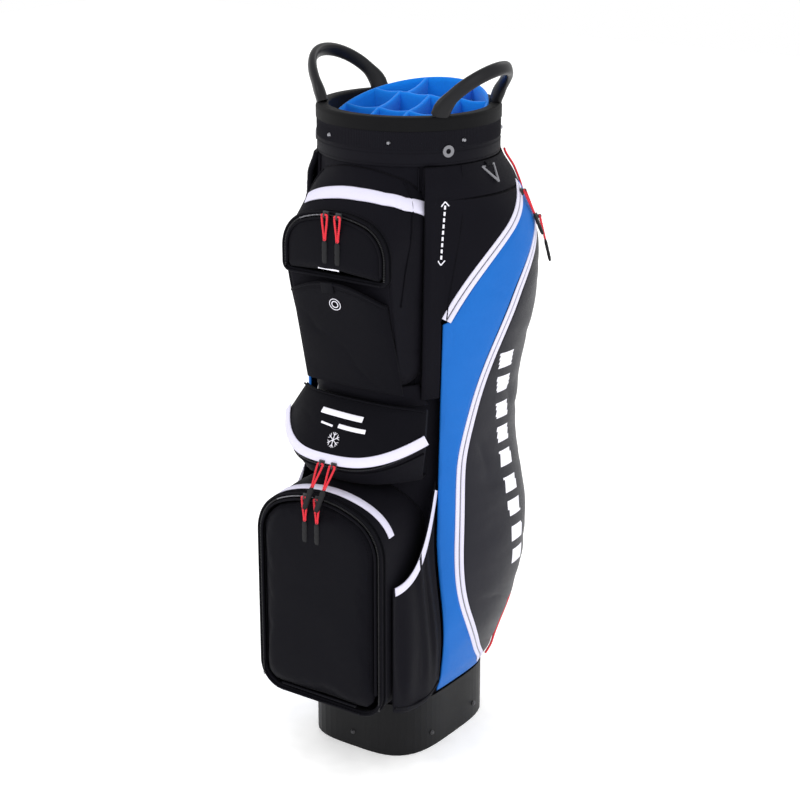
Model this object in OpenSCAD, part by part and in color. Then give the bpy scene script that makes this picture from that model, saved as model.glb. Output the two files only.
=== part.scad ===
// Golf cart bag: moulded base cup and collar, fabric body, slanted fourteen-way divider,
// zipped front pockets with fold-down doors, cooler lid, side pockets, rim handles and strap.
// Front of the bag faces -Y, the ground is Z = 0, and the base centre is the origin.

/* [Overall] */
// Height of the rim above the ground
rim_h = 880; // [720:10:1060]
// Outer diameter of the collar
collar_d = 240; // [200:1:290]
// Width of the base cup
base_w = 184; // [150:1:222]
// Depth of the base cup
base_d = 226; // [188:1:272]
// How far the collar centre sits behind the base centre
collar_back = 20; // [0:1:40]

/* [Base and collar] */
// Height of the base cup
cup_h = 78; // [50:1:110]
// Wall of the base cup
cup_wall = 3; // [2:0.5:5]
// Squareness of the base outline
base_n = 3.6; // [2:0.1:5]
// Height of the collar band
collar_h = 44; // [30:1:60]
// Wall of the collar band
collar_wall = 3; // [2:0.5:5]
// Height of the padded rim above the collar
rim_rise = 18; // [12:1:30]
// Radial width of the rim
rim_w = 17; // [12:1:26]
// Thickness of the body fabric
skin_t = 2; // [1.5:0.5:4]
// Diameter of the rivets in the base
rivet_d = 7; // [5:0.5:10]
// Diameter of the screws in the collar
screw_d = 6; // [4:0.5:9]
// Diameter of the upright stays
stay_d = 6; // [4:0.5:9]

/* [Dividers] */
// Thickness of a divider wall
wall_t = 4; // [2:0.5:6]
// Spacing of the divider rows
row_pitch = 49; // [36:1:58]
// Height of the moulded divider frame
frame_h = 30; // [15:1:50]
// Rise of the divider top per unit of depth
top_slope = 0.29; // [0:0.01:0.35]

/* [Rim handles] */
// Half angle between the feet of a handle
handle_half_angle = 35; // [22:1:48]
// Height of a handle above the rim
handle_rise = 62; // [40:1:90]
// Outward lean of a handle
handle_lean = 27; // [0:1:45]
// Width of the handle band
handle_w = 19; // [12:1:28]
// Thickness of the handle band
handle_t = 9; // [6:0.5:12]

/* [Front pockets] */
// Clear height between the cup and the ball pocket
ball_clear = 27; // [10:1:60]
// Height of the ball pocket
ball_h = 286; // [200:1:330]
// Height of the sloping panel over the ball pocket
ball_yoke_h = 49; // [30:1:80]
// Height of the cooler lid
cooler_h = 70; // [50:1:110]
// Height of the seam panel over the cooler
seam_h = 20; // [10:1:40]
// Height of the range pouch
pouch_h = 144; // [90:1:200]
// Gap between the range pouch and the upper door
door_gap = 10; // [6:0.5:16]
// Height of the upper pocket door
upper_h = 74; // [56:1:100]
// Height of the yoke under the collar
yoke_h = 60; // [40:1:100]
// Width of the ball pocket door
ball_w = 190; // [150:1:210]
// Depth of the ball pocket in front of the body
ball_depth = 83; // [60:1:110]
// Width of the upper pocket door
upper_w = 152; // [110:1:180]
// Depth of the upper pocket in front of the body
upper_depth = 50; // [40:1:80]
// Width of the cooler lid
cooler_w = 224; // [170:1:240]
// Depth of the cooler in front of the body
cooler_depth = 60; // [40:1:80]
// Thickness of a pocket door
door_t = 12; // [8:1:18]
// Thickness of a pocket wall
pocket_wall = 3; // [2:0.5:4]

/* [Side pockets] */
// Largest bulge of the side pocket
side_bulge = 44; // [25:1:60]
// Thickness of the coloured side panel
panel_t = 7; // [4:0.5:12]

/* [Pulls and rings] */
// Length of the cord of a zip pull
cord_len = 34; // [22:1:45]
// Diameter of the cord
cord_d = 2.4; // [1.6:0.1:3.2]
// Length of the moulded pull tip
tip_len = 28; // [18:1:36]
// Width of a hanging ring
ring_w = 26; // [18:1:36]
// Wire diameter of a hanging ring
ring_wire = 3.2; // [2.4:0.2:4]
// Inner diameter of the umbrella holder
umbrella_d = 36; // [26:1:44]

/* [Hidden] */
$fn = 48;
gap = 0.4;
pin_gap = 0.06;
pocket_gap = 0.8;
sectors = 48;
rows = 12;

collar_z0 = rim_h - rim_rise - collar_h;
collar_z1 = rim_h - rim_rise;
collar_r = collar_d / 2;
top_skin_r = collar_r - collar_wall - gap;
base_skin_w = base_w / 2 - cup_wall - gap;
base_skin_d = base_d / 2 - cup_wall - gap;
rim_in_r = collar_r + 1 - rim_w;

stack_sum = ball_clear + ball_h + ball_yoke_h + cooler_h + seam_h + pouch_h + door_gap + upper_h + yoke_h;
stack_k = (collar_z0 - cup_h) / stack_sum;
z_ball0 = cup_h + stack_k * ball_clear;
z_ball1 = z_ball0 + stack_k * ball_h;
z_cool0 = z_ball1 + stack_k * ball_yoke_h;
z_cool1 = z_cool0 + stack_k * cooler_h;
z_pouch0 = z_cool1 + stack_k * seam_h;
z_pouch1 = z_pouch0 + stack_k * pouch_h;
z_up0 = z_pouch1 + stack_k * door_gap;
z_up1 = z_up0 + stack_k * upper_h;

// ---- body section ----
function lerp(a, b, t) = a + (b - a) * t;
function clamp01(t) = min(1, max(0, t));
function smooth(t) = let (s = clamp01(t)) s * s * (3 - 2 * s);
function body_t(z) = clamp01((z - cup_h) / (collar_z0 - cup_h));
function sec_w(z) = lerp(base_skin_w, top_skin_r, body_t(z));
function sec_d(z) = lerp(base_skin_d, top_skin_r, body_t(z));
function sec_cy(z) = collar_back * body_t(z);
function sec_n(z) = lerp(base_n, 2, body_t(z));
function polar_r(w, d, n, a) = pow(pow(abs(cos(a)) / w, n) + pow(abs(sin(a)) / d, n), -1 / n);
function skin_r(a, z, g) = polar_r(sec_w(z) + g, sec_d(z) + g, sec_n(z), a);
function skin_pt(a, z, g) = let (r = skin_r(a, z, g)) [r * cos(a), sec_cy(z) + r * sin(a), z];
function skin_x(y, z, g) = let (n = sec_n(z), q = min(0.98, abs(y - sec_cy(z)) / (sec_d(z) + g)))
    (sec_w(z) + g) * pow(1 - pow(q, n), 1 / n);
function skin_y(x, z, g) = let (n = sec_n(z), q = min(0.98, abs(x) / (sec_w(z) + g)))
    sec_cy(z) - (sec_d(z) + g) * pow(1 - pow(q, n), 1 / n);
function front_y(z) = sec_cy(z) - sec_d(z);

// ---- solids from loops and grids of points ----
function flat(list) = [for (row = list) for (p = row) p];
function quad(a, b, c, d) = [[a, b, c], [a, c, d]];
// End cap faces: a fan, or strips across a folded loop
function cap_faces(n, base, strip, flip) = let (h = n / 2)
    strip ? [for (j = [0 : h - 2]) for (f = quad(base + j, base + j + 1, base + n - 2 - j, base + n - 1 - j))
        flip ? [f[2], f[1], f[0]] : f]
    : [flip ? [for (j = [n - 1 : -1 : 0]) base + j] : [for (j = [0 : n - 1]) base + j]];
// Skin a list of closed loops; capped at both ends, or joined last to first
module loft(loops, joined = false, strip = false) {
    m = len(loops);
    n = len(loops[0]);
    spans = joined ? m : m - 1;
    walls = [for (i = [0 : spans - 1]) for (j = [0 : n - 1])
        let (k = (j + 1) % n, i2 = (i + 1) % m)
        for (f = quad(i * n + j, i2 * n + j, i2 * n + k, i * n + k)) f];
    caps = joined ? [] : concat(cap_faces(n, 0, strip, false), cap_faces(n, (m - 1) * n, strip, true));
    polyhedron(points = flat(loops), faces = concat(walls, caps), convexity = 8);
}
// Thin solid between two matching open grids
module sheet(outer, inner) {
    loft([for (i = [0 : len(outer) - 1])
        concat(outer[i], [for (j = [len(inner[i]) - 1 : -1 : 0]) inner[i][j]])], strip = true);
}
function circle_pts(r, n) = [for (i = [0 : n - 1]) [r * cos(i * 360 / n), r * sin(i * 360 / n)]];
function arc_pts(cx, cy, r, a0, a1, n) =
    [for (i = [0 : n]) let (a = lerp(a0, a1, i / n)) [cx + r * cos(a), cy + r * sin(a)]];
function body_loop(z, g) = [for (i = [0 : sectors - 1]) skin_pt(i * 360 / sectors, z, g)];

// Door outline: crowned top, round shoulders, round feet, grown by g
function shoulder_z(hw, top, crown, sh) = top - crown + sqrt(pow(crown - sh, 2) - pow(hw - sh, 2));
function shoulder_a(hw, top, crown, sh) = atan2(shoulder_z(hw, top, crown, sh) - (top - crown), hw - sh);
function door_pts(hw, bot, top, crown, sh, foot, g) =
    let (a = shoulder_a(hw, top, crown, sh), sz = shoulder_z(hw, top, crown, sh))
    concat(
        arc_pts(-hw + foot, bot + foot, foot + g, 180, 270, 5),
        arc_pts(hw - foot, bot + foot, foot + g, 270, 360, 5),
        arc_pts(hw - sh, sz, sh + g, 0, a, 6),
        arc_pts(0, top - crown, crown + g, a + (90 - a) / 7, 90 + (90 - a) * 6 / 7, 12),
        arc_pts(-hw + sh, sz, sh + g, 180 - a, 180, 6)
    );
// Extrude an outline drawn in X-Z from y0 towards the front by t
module front_slab(pts, y0, t) {
    translate([0, y0, 0])
        rotate([90, 0, 0])
            linear_extrude(height = t)
                polygon(pts);
}

// ---- base ----
function base_pts(g) = [for (i = [0 : 71]) let (a = i * 5, r = polar_r(base_w / 2 + g, base_d / 2 + g, base_n, a))
    [r * cos(a), r * sin(a)]];
cup_floor = 4;
rivet_z = 22;
rivet_a = [-90, -30, 30, 90, 150, 210];
module rivet(d, grip, head_t) {
    rotate([0, 90, 0]) {
        translate([0, 0, -grip])
            cylinder(d = d * 0.5, h = grip + head_t / 2);
        cylinder(d1 = d, d2 = d * 0.6, h = head_t);
    }
}
module base_cup() {
    color("#1b1b1f")
        difference() {
            linear_extrude(height = cup_h)
                polygon(base_pts(0));
            translate([0, 0, cup_floor])
                linear_extrude(height = cup_h)
                    polygon(base_pts(-cup_wall));
            for (a = rivet_a)
                translate([rivet_seat(a) * cos(a), rivet_seat(a) * sin(a), rivet_z])
                    rotate([0, 0, rivet_dir(a)])
                        rotate([0, 90, 0])
                            translate([0, 0, -20])
                                cylinder(d = rivet_d * 0.5 + 2 * pin_gap, h = 40);
        }
}
function rivet_seat(a) = polar_r(base_w / 2, base_d / 2, base_n, a) + 0.6;
// Outward direction of the cup wall at angle a
function rivet_dir(a) = atan2(
    sign(sin(a)) * pow(abs(sin(a)), base_n - 1) / pow(base_d / 2, base_n),
    sign(cos(a)) * pow(abs(cos(a)), base_n - 1) / pow(base_w / 2, base_n));
module base_rivets() {
    color("#3a3a40")
        for (a = rivet_a)
            translate([rivet_seat(a) * cos(a), rivet_seat(a) * sin(a), rivet_z])
                rotate([0, 0, rivet_dir(a)])
                    rivet(rivet_d, cup_wall, 2.4);
}
module base_pad() {
    color("#2c2c30")
        translate([0, 0, cup_floor + gap])
            linear_extrude(height = 5)
                polygon(base_pts(-cup_wall - gap - skin_t - 1.2));
}

// ---- body ----
shell_z0 = cup_floor + gap;
shell_z1 = collar_z1 - 1;
module body_shell() {
    zs = [for (i = [0 : rows]) i == 0 ? shell_z0 : i == rows ? shell_z1 : lerp(cup_h, collar_z0, (i - 1) / (rows - 2))];
    color("#17171c")
        loft(concat(
            [for (z = zs) body_loop(z, 0)],
            [for (i = [rows : -1 : 0]) body_loop(zs[i], -skin_t)]
        ), joined = true);
}
// The stays stand just inside the skin and carry the collar
stay_a = [50, 90, 130];
module stay_rods() {
    z0 = cup_floor + 6;
    z1 = collar_z0 - 10;
    color("#d8d8d2")
        for (a = stay_a) {
            p0 = skin_pt(a, z0, -skin_t - stay_d / 2 - 3.4);
            p1 = skin_pt(a, z1, -skin_t - stay_d / 2 - 3.4);
            v = p1 - p0;
            translate(p0)
                rotate([0, acos(v[2] / norm(v)), atan2(v[1], v[0])])
                    cylinder(d = stay_d, h = norm(v));
        }
}

// ---- collar and rim ----
screw_a = [-67.5, -112.5, -20, -160, 30, 150, 65, 115];
screw_z = collar_z1 - 14;
module collar_band() {
    color("#1d1d22")
        translate([0, collar_back, 0])
            difference() {
                translate([0, 0, collar_z0])
                    cylinder(r = collar_r, h = collar_h, $fn = 96);
                translate([0, 0, collar_z0 - 1])
                    cylinder(r = collar_r - collar_wall, h = collar_h + 2, $fn = 96);
                for (a = screw_a)
                    rotate([0, 0, a])
                        translate([collar_r - 10, 0, screw_z])
                            rotate([0, 90, 0])
                                cylinder(d = screw_d * 0.5 + 2 * pin_gap, h = 20);
                for (s = [-1, 1])
                    rotate([0, 0, -90 + s * eyelet_a])
                        translate([collar_r - 10, 0, eyelet_z])
                            rotate([0, 90, 0])
                                cylinder(r = eyelet_r, h = 20);
            }
}
module collar_screws() {
    color("#55555c")
        translate([0, collar_back, 0])
            for (a = screw_a)
                rotate([0, 0, a])
                    translate([collar_r + 0.1, 0, screw_z])
                        rivet(screw_d, collar_wall - 0.2, 2);
}
eyelet_a = 59;
eyelet_z = collar_z0 + 18;
eyelet_r = 5;
module collar_eyelets() {
    color("#6f6f77")
        translate([0, collar_back, 0])
            for (s = [-1, 1])
                rotate([0, 0, -90 + s * eyelet_a])
                    translate([collar_r - collar_wall + 0.2, 0, eyelet_z])
                        rotate([0, 90, 0])
                            difference() {
                                union() {
                                    cylinder(r = eyelet_r - 0.1, h = collar_wall);
                                    translate([0, 0, collar_wall])
                                        cylinder(r = eyelet_r + 2.6, h = 1.2);
                                }
                                translate([0, 0, -1])
                                    cylinder(r = eyelet_r - 1.6, h = collar_wall + 4);
                            }
}
module top_rim() {
    r_out = collar_r + 1;
    r_in = rim_in_r;
    seat_r = top_skin_r - skin_t - gap;
    color("#1a1a1d")
        translate([0, collar_back, 0])
            rotate_extrude($fn = 96)
                polygon(concat(
                    [[r_in, collar_z1 - 12], [seat_r, collar_z1 - 12], [seat_r, collar_z1 + gap],
                     [r_out, collar_z1 + gap]],
                    arc_pts(r_out - 5, rim_h - 5, 5, 0, 90, 5),
                    arc_pts(r_in + 3, rim_h - 3, 3, 90, 180, 4)
                ));
}

// ---- dividers ----
side_col = 48;
end_col = 36;
row_y = [-row_pitch, 0, row_pitch];
frame_r = rim_in_r - gap;
top_mid = rim_h - 10;
module slanted(top, thick) {
    intersection() {
        children();
        translate([0, collar_back, top])
            rotate([atan(top_slope), 0, 0])
                translate([-collar_d, -collar_d, -thick])
                    cube([2 * collar_d, 2 * collar_d, thick]);
    }
}
// One wall between its neighbours, cut just short of the frame's ring
module wall_plan(x0, y0, x1, y1) {
    intersection() {
        circle(r = frame_r - wall_t - gap, $fn = 96);
        translate([x0, y0])
            square([x1 - x0, y1 - y0]);
    }
}
module divider_plan(r, t) {
    h = t / 2;
    e = h + gap;
    for (y = row_y)
        wall_plan(-r, y - h, r, y + h);
    for (x = [-side_col, 0, side_col]) {
        wall_plan(x - h, e, x + h, row_pitch - e);
        wall_plan(x - h, e - row_pitch, x + h, -e);
    }
    for (x = [-end_col, end_col]) {
        wall_plan(x - h, row_pitch + e, x + h, r);
        wall_plan(x - h, -r, x + h, -row_pitch - e);
    }
}
module divider_frame() {
    color("#2b74d8")
        slanted(top_mid, frame_h)
            translate([0, collar_back, rim_h - 120])
                linear_extrude(height = 160)
                    divider_plan(frame_r, wall_t);
}
module divider_ring() {
    color("#2b74d8")
        slanted(top_mid, frame_h)
            translate([0, collar_back, rim_h - 120])
                linear_extrude(height = 160)
                    difference() {
                        circle(r = frame_r, $fn = 96);
                        circle(r = frame_r - wall_t, $fn = 96);
                    }
}
// Fabric walls hang from the frame; each sewn panel is a slab of its own
sleeve_t = wall_t * 0.5;
sleeve_z0 = cup_floor + 12;
module sleeve_row(y) {
    top = top_mid - frame_h + y * top_slope - 6;
    half_top = sqrt(pow(frame_r - 6, 2) - y * y);
    half_low = base_skin_w - skin_t - 14;
    rotate([90, 0, 0])
        translate([0, 0, -sleeve_t / 2])
            linear_extrude(height = sleeve_t)
                polygon([[-half_low * sleeve_fit(y), sleeve_z0], [half_low * sleeve_fit(y), sleeve_z0],
                         [half_top, top], [-half_top, top]]);
}
function sleeve_fit(y) = abs(y) > 1 ? 0.86 : 1;
module sleeve_column(x, y0, y1) {
    g = sleeve_t / 2 + gap;
    top0 = top_mid - frame_h + y0 * top_slope - 6;
    top1 = top_mid - frame_h + y1 * top_slope - 6;
    translate([x - sleeve_t / 2, 0, 0])
        rotate([90, 0, 90])
            linear_extrude(height = sleeve_t)
                polygon([[y0 + g, sleeve_z0], [y1 - g, sleeve_z0], [y1 - g, top1], [y0 + g, top0]]);
}
module divider_sleeves() {
    reach = 80;
    color("#2f6fca")
        translate([0, sleeve_cy, 0]) {
            for (y = row_y)
                translate([0, y, 0])
                    sleeve_row(y);
            for (i = [0, 1])
                for (x = [-side_col, 0, side_col])
                    sleeve_column(x, row_y[i], row_y[i + 1]);
            for (x = [-end_col, end_col]) {
                sleeve_column(x, row_pitch, reach);
                sleeve_column(x, -reach, -row_pitch);
            }
        }
}
sleeve_cy = collar_back * 0.5;

// ---- rim handles ----
foot_r = collar_r - 8;
function handle_path(s) = let (
        a = lerp(-handle_half_angle, handle_half_angle, s),
        rise = pow(sin(180 * s), 0.62),
        r = foot_r + handle_lean * pow(sin(180 * s), 0.8))
    [r * cos(a), collar_back + r * sin(a), rim_h + gap + 0.2 + (handle_rise - handle_t / 2) * rise];
module handle(side) {
    n = 28;
    mirror([side < 0 ? 1 : 0, 0, 0])
        loft([for (i = [0 : n]) let (
            s = i / n,
            p = handle_path(s),
            a = handle_path(max(0, s - 0.02)),
            b = handle_path(min(1, s + 0.02)),
            t0 = b - a,
            t = i == 0 ? [0, 0, 1] : i == n ? [0, 0, -1] : t0 / norm(t0),
            rad = [cos(lerp(-handle_half_angle, handle_half_angle, s)), sin(lerp(-handle_half_angle, handle_half_angle, s)), 0],
            side_v = cross(t, rad),
            w = side_v / norm(side_v),
            u = cross(w, t),
            k = lerp(1, handle_w / handle_t, smooth(min(1, 5 * min(s, 1 - s)))),
            hw = handle_t / 2 * k)
            [for (c = circle_pts(1, 12)) p + u * hw * 0.92 * c[0] + w * handle_t / 2 * (i == 0 || i == n ? 1.8 : 1) * c[1]]]);
}
module handle_left() {
    color("#232327") handle(-1);
}
module handle_right() {
    color("#232327") handle(1);
}

// ---- hanging rings and their webbing loops ----
loop_z = collar_z0 - 8;
ring_x = skin_x(collar_back, loop_z, 0) + 6.5;
ring_h = 24;
ring_lean = 42;
module place_side(side) {
    mirror([side < 0 ? 1 : 0, 0, 0])
        children();
}
module bar(p, q, d) {
    v = q - p;
    translate(p)
        rotate([0, acos(v[2] / norm(v)), atan2(v[1], v[0])])
            cylinder(d = d, h = norm(v), $fn = 24);
}
module ring(side) {
    top_a = [ring_x, collar_back - ring_w / 2, loop_z];
    top_b = [ring_x, collar_back + ring_w / 2, loop_z];
    tip = [ring_x + ring_h * sin(ring_lean), collar_back, loop_z - ring_h * cos(ring_lean)];
    place_side(side) {
        bar(top_a, top_b, ring_wire);
        bar(top_a, tip, ring_wire);
        bar(top_b, tip, ring_wire);
        for (p = [top_a, top_b, tip])
            translate(p)
                sphere(d = ring_wire + 0.4, $fn = 24);
    }
}
module d_ring_left() {
    color("#5c5f66") ring(-1);
}
module d_ring_right() {
    color("#5c5f66") ring(1);
}
module strap_loops() {
    w = ring_w * 0.55;
    r = ring_wire / 2 + pin_gap;
    back = ring_x - skin_x(collar_back, loop_z, 0) - 0.7;
    color("#202024")
        for (s = [-1, 1])
            place_side(s)
                translate([ring_x, collar_back, loop_z])
                    rotate([90, 0, 0])
                        difference() {
                            union() {
                                cylinder(r = r + 1.4, h = w, center = true);
                                translate([-back, 0, -w / 2])
                                    cube([back, 6.5, w]);
                            }
                            cylinder(r = r, h = w + 2, center = true);
                        }
}

// ---- zip sliders and pulls ----
// Local frame: the bail bore runs along X, outwards is -Y and the pull hangs towards -Z
bail_r = cord_d / 2 + pin_gap;
slider_out = bail_r + 1.4;
module zip_slider() {
    color("#2a2a2e")
        difference() {
            union() {
                rotate([0, 90, 0])
                    cylinder(r = bail_r + 1.2, h = 2.4, center = true);
                translate([-1.2, 0, -bail_r - 1.2])
                    cube([2.4, slider_out, 2 * (bail_r + 1.2)]);
                translate([-4, slider_out - 0.2, -4.5])
                    cube([8, 2.2, 9]);
            }
            rotate([0, 90, 0])
                cylinder(r = bail_r, h = 12, center = true);
        }
}
module zip_pull() {
    half = 3;
    color("#d02028") {
        rotate([0, 90, 0])
            cylinder(d = cord_d, h = 2 * half, center = true);
        for (s = [-1, 1]) {
            translate([s * half, 0, 0])
                sphere(d = cord_d + 0.3);
            bar([s * half, 0, 0], [s * 1.3, 0, -cord_len], cord_d);
        }
    }
    color("#1b1b1e")
        translate([0, 0, -cord_len])
            rotate([90, 0, 0])
                linear_extrude(height = 4, center = true)
                    polygon([[-3.2, 2], [3.2, 2], [3.8, -tip_len + 2], [2.4, -tip_len], [-2.4, -tip_len], [-3.8, -tip_len + 2]]);
}

// ---- pocket doors and boxes ----
crown = 150;
foot = 30;
ring_t = 5;
door_clear = 0.7;
ball_hw = ball_w / 2;
ball_sh = 55;
ball_face = front_y((z_ball0 + z_ball1) / 2) - ball_depth;
upper_hw = upper_w / 2;
upper_sh = 42;
upper_face = front_y(z_up0) - upper_depth;
pull_out = slider_out + 2.45;
module pocket_door(hw, z0, z1, sh, ft, face) {
    front_slab(door_pts(hw, z0, z1, crown, sh, ft, 0), face + door_t, door_t);
}
// Upside-down U that carries the zip around a door
module zip_ring(hw, z0, z1, sh, face) {
    difference() {
        front_slab(door_pts(hw, z0 - 40, z1, crown, sh, foot, ring_t + door_clear), face + door_t, door_t - 2.2);
        front_slab(door_pts(hw, z0 - 40, z1, crown, sh, foot, door_clear), face + door_t + 1, door_t + 2);
        translate([-200, face - 10, z0 - 100])
            cube([400, 60, 100]);
    }
}
// Fabric box side: from the ring's back edge to the body skin
function box_front(hw, z0, z1, sh, g) = door_pts(hw, z0, z1, crown, sh, foot, g);
function lean_y(z, z_knee, y_top, z_low, y_low) = z > z_knee ? y_top : lerp(y_low, y_top, clamp01((z - z_low) / (z_knee - z_low)));
// Outline p with the long edges of outline q cut into steps
function stepped(p, q, step = 10) = [
    for (i = [0 : len(p) - 1]) let (
        j = (i + 1) % len(p),
        k = max(1, ceil(norm(q[j] - q[i]) / step)))
        for (m = [0 : k - 1]) lerp(p[i], p[j], m / k)];
module pocket_box(front, rear, front_in, rear_in, y_at) {
    outer_f = [for (p = stepped(front, front)) [p[0], y_at(p[1]), p[1]]];
    outer_r = [for (p = stepped(rear, front)) [p[0], skin_y(p[0], p[1], pocket_gap), p[1]]];
    inner_r = [for (p = stepped(rear_in, front)) [p[0], skin_y(p[0], p[1], pocket_gap), p[1]]];
    inner_f = [for (p = stepped(front_in, front)) [p[0], y_at(p[1]), p[1]]];
    n = len(outer_f);
    outer_m = [for (i = [0 : n - 1]) lerp(outer_f[i], outer_r[i], 0.5) + [outer_f[i][0] * 0.04, 0, 0]];
    inner_m = [for (i = [0 : n - 1]) lerp(inner_f[i], inner_r[i], 0.5) + [inner_f[i][0] * 0.04, 0, 0]];
    loft([inner_f, inner_m, inner_r, outer_r, outer_m, outer_f], joined = true);
}

// Ball pocket
ball_back = ball_face + door_t + gap;
ball_rear_w = min(ball_hw - 12, 0.93 * base_skin_w);
ball_rear_top = z_cool0 - 34;
module ball_pocket_box() {
    g = ring_t + door_clear;
    color("#18181d")
        pocket_box(
            box_front(ball_hw, z_ball0, z_ball1, ball_sh, g),
            box_front(ball_rear_w, z_ball0 + 2, ball_rear_top - g, ball_sh, g),
            box_front(ball_hw, z_ball0, z_ball1, ball_sh, g - pocket_wall),
            box_front(ball_rear_w, z_ball0 + 2, ball_rear_top - g, ball_sh, g - pocket_wall),
            function(z) ball_back);
}
module ball_door() {
    color("#15151a")
        pocket_door(ball_hw, z_ball0, z_ball1, ball_sh, foot, ball_face);
}

// Upper pocket
upper_back = upper_face + door_t + gap;
upper_low_w = upper_hw + 8;
pouch_low_y = front_y(z_pouch0) - 14;
function upper_y(z) = lean_y(z, z_up0 - 4, upper_back, z_pouch0, pouch_low_y);
upper_rear_top = collar_z0 - 3;
module upper_pocket_box() {
    g = ring_t + door_clear;
    color("#18181d")
        pocket_box(
            box_front(upper_hw, z_pouch0 + g, z_up1, upper_sh, g),
            box_front(upper_hw, z_pouch0 + g, upper_rear_top - g, upper_sh, g),
            box_front(upper_hw, z_pouch0 + g, z_up1, upper_sh, g - pocket_wall),
            box_front(upper_hw, z_pouch0 + g, upper_rear_top - g, upper_sh, g - pocket_wall),
            function(z) upper_y(z));
}
module upper_door() {
    color("#15151a")
        pocket_door(upper_hw, z_up0, z_up1, upper_sh, 5, upper_face);
}
module zip_tracks() {
    color("#3c3c42") {
        zip_ring(ball_hw, z_ball0, z_ball1, ball_sh, ball_face);
        zip_ring(upper_hw, z_up0, z_up1, upper_sh, upper_face);
    }
}

// Range pouch: an open-topped cup that closes the lower front of the upper pocket
pouch_top_d = 15;
pouch_low_d = 9;
pouch_arch = 22;
function pouch_hw(t) = lerp(upper_low_w + 2, upper_hw - 1, t);
function pouch_back(z) = upper_y(z) - gap - 0.2;
function pouch_loop(t, g, z_low) = let (
        hw = pouch_hw(t) - g,
        dep = lerp(pouch_low_d, pouch_top_d, t) - 5,
        n = 14,
        qs = [for (j = [0 : n]) -cos(180 * j / n)],
        zs = [for (q = qs) lerp(z_low, z_pouch1 - pouch_arch * q * q, t)])
    concat(
        [for (j = [0 : n]) [qs[j] * hw, pouch_back(zs[j]) - 5 + 0.95 * g - dep * pow(sin(180 * j / n), 0.7), zs[j]]],
        [for (j = [n : -1 : 0]) [qs[j] * hw, pouch_back(zs[j]) - 0.95 * g, zs[j]]]);
module range_pouch() {
    ts = [0, 0.25, 0.5, 0.75, 1];
    color("#18181d")
        loft(concat(
            [for (t = ts) pouch_loop(t, 0, z_pouch0)],
            [for (i = [4 : -1 : 0]) pouch_loop(ts[i], 2.2, z_pouch0 + 4)]), strip = true);
}
module range_magnets() {
    z = z_pouch1 - 16;
    dep = lerp(pouch_low_d, pouch_top_d, (z - z_pouch0) / (z_pouch1 - z_pouch0)) - 5;
    color("#8d8f96")
        for (x = [-16, 16])
            translate([x, pouch_back(z) - 2.9 - dep + 2.6, z])
                rotate([90, 0, 0])
                    cylinder(d = 12, h = 1.2);
}

// Cooler: a sloping wrap-round lid over a box that stands on the ball pocket
cooler_hw = cooler_w / 2;
lid_t = 8;
lid_top_y = front_y(z_cool1) - 9;
lid_low_y = front_y(z_cool0) - cooler_depth;
lid_low_z = z_cool0 - 6;
function lid_q(x) = abs(x) / cooler_hw;
function lid_edge_y(x, v) = lerp(lid_low_y + 62 * pow(lid_q(x), 3), lid_top_y + 20 * pow(lid_q(x), 3), v);
function lid_edge_z(x, v) = lerp(lid_low_z + 36 * pow(lid_q(x), 3), z_cool1 - 2, v);
function lid_pt(x, v, t) = let (bow = 7 * sin(180 * v) * (1 - pow(lid_q(x), 2)))
    [x, lid_edge_y(x, v) - (t + bow) * 0.77, lid_edge_z(x, v) + (t + bow) * 0.63];
function lid_grid(t) = [for (i = [0 : 6]) [for (j = [0 : 16]) lid_pt(lerp(-cooler_hw, cooler_hw, j / 16), i / 6, t)]];
module cooler_lid() {
    color("#16161b")
        sheet(lid_grid(lid_t), lid_grid(0));
}
// The box is a cup between the lid's edge and the body
cooler_low_z = z_ball1 + 0.35 * (z_cool0 - z_ball1);
cooler_back_w = 0.8;
function cooler_z(x, v, low) = lerp(low, lid_edge_z(x, 0) - 1.5, v);
function cooler_front(x, v, low) = let (z = cooler_z(x, v, low))
    [x * lerp(cooler_back_w + 0.04, 1, v), lerp(lid_edge_y(x, 0) + 16, lid_edge_y(x, 0), v), z];
function cooler_rear(x, v, low) = let (z = cooler_z(x, v, low), xr = x * cooler_back_w)
    [xr, max(skin_y(xr, z, pocket_gap) - 0.4, cooler_front(x, v, low)[1] + 8), z];
function cooler_loop(v, g, low) = let (k = (cooler_hw - g) / cooler_hw, n = 16)
    concat(
        [for (j = [0 : n]) cooler_front(k * lerp(-cooler_hw, cooler_hw, j / n), v, low) + [0, g, 0]],
        [for (j = [n : -1 : 0]) cooler_rear(k * lerp(-cooler_hw, cooler_hw, j / n), v, low) - [0, g * 0.8, 0]]);
module cooler_box() {
    vs = [0, 0.34, 0.67, 1];
    color("#18181d")
        loft(concat(
            [for (v = vs) cooler_loop(v, 0, cooler_low_z)],
            [for (i = [3 : -1 : 0]) cooler_loop(vs[i], pocket_wall, cooler_low_z + pocket_wall)]), strip = true);
}
module cooler_liner() {
    vs = [0, 0.5, 0.86];
    g = pocket_wall + 1;
    color("#b9bcc4")
        loft(concat(
            [for (v = vs) cooler_loop(v, g, cooler_low_z + g)],
            [for (i = [2 : -1 : 0]) cooler_loop(vs[i], g + 1.2, cooler_low_z + g + 1.2)]), strip = true);
}

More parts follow.
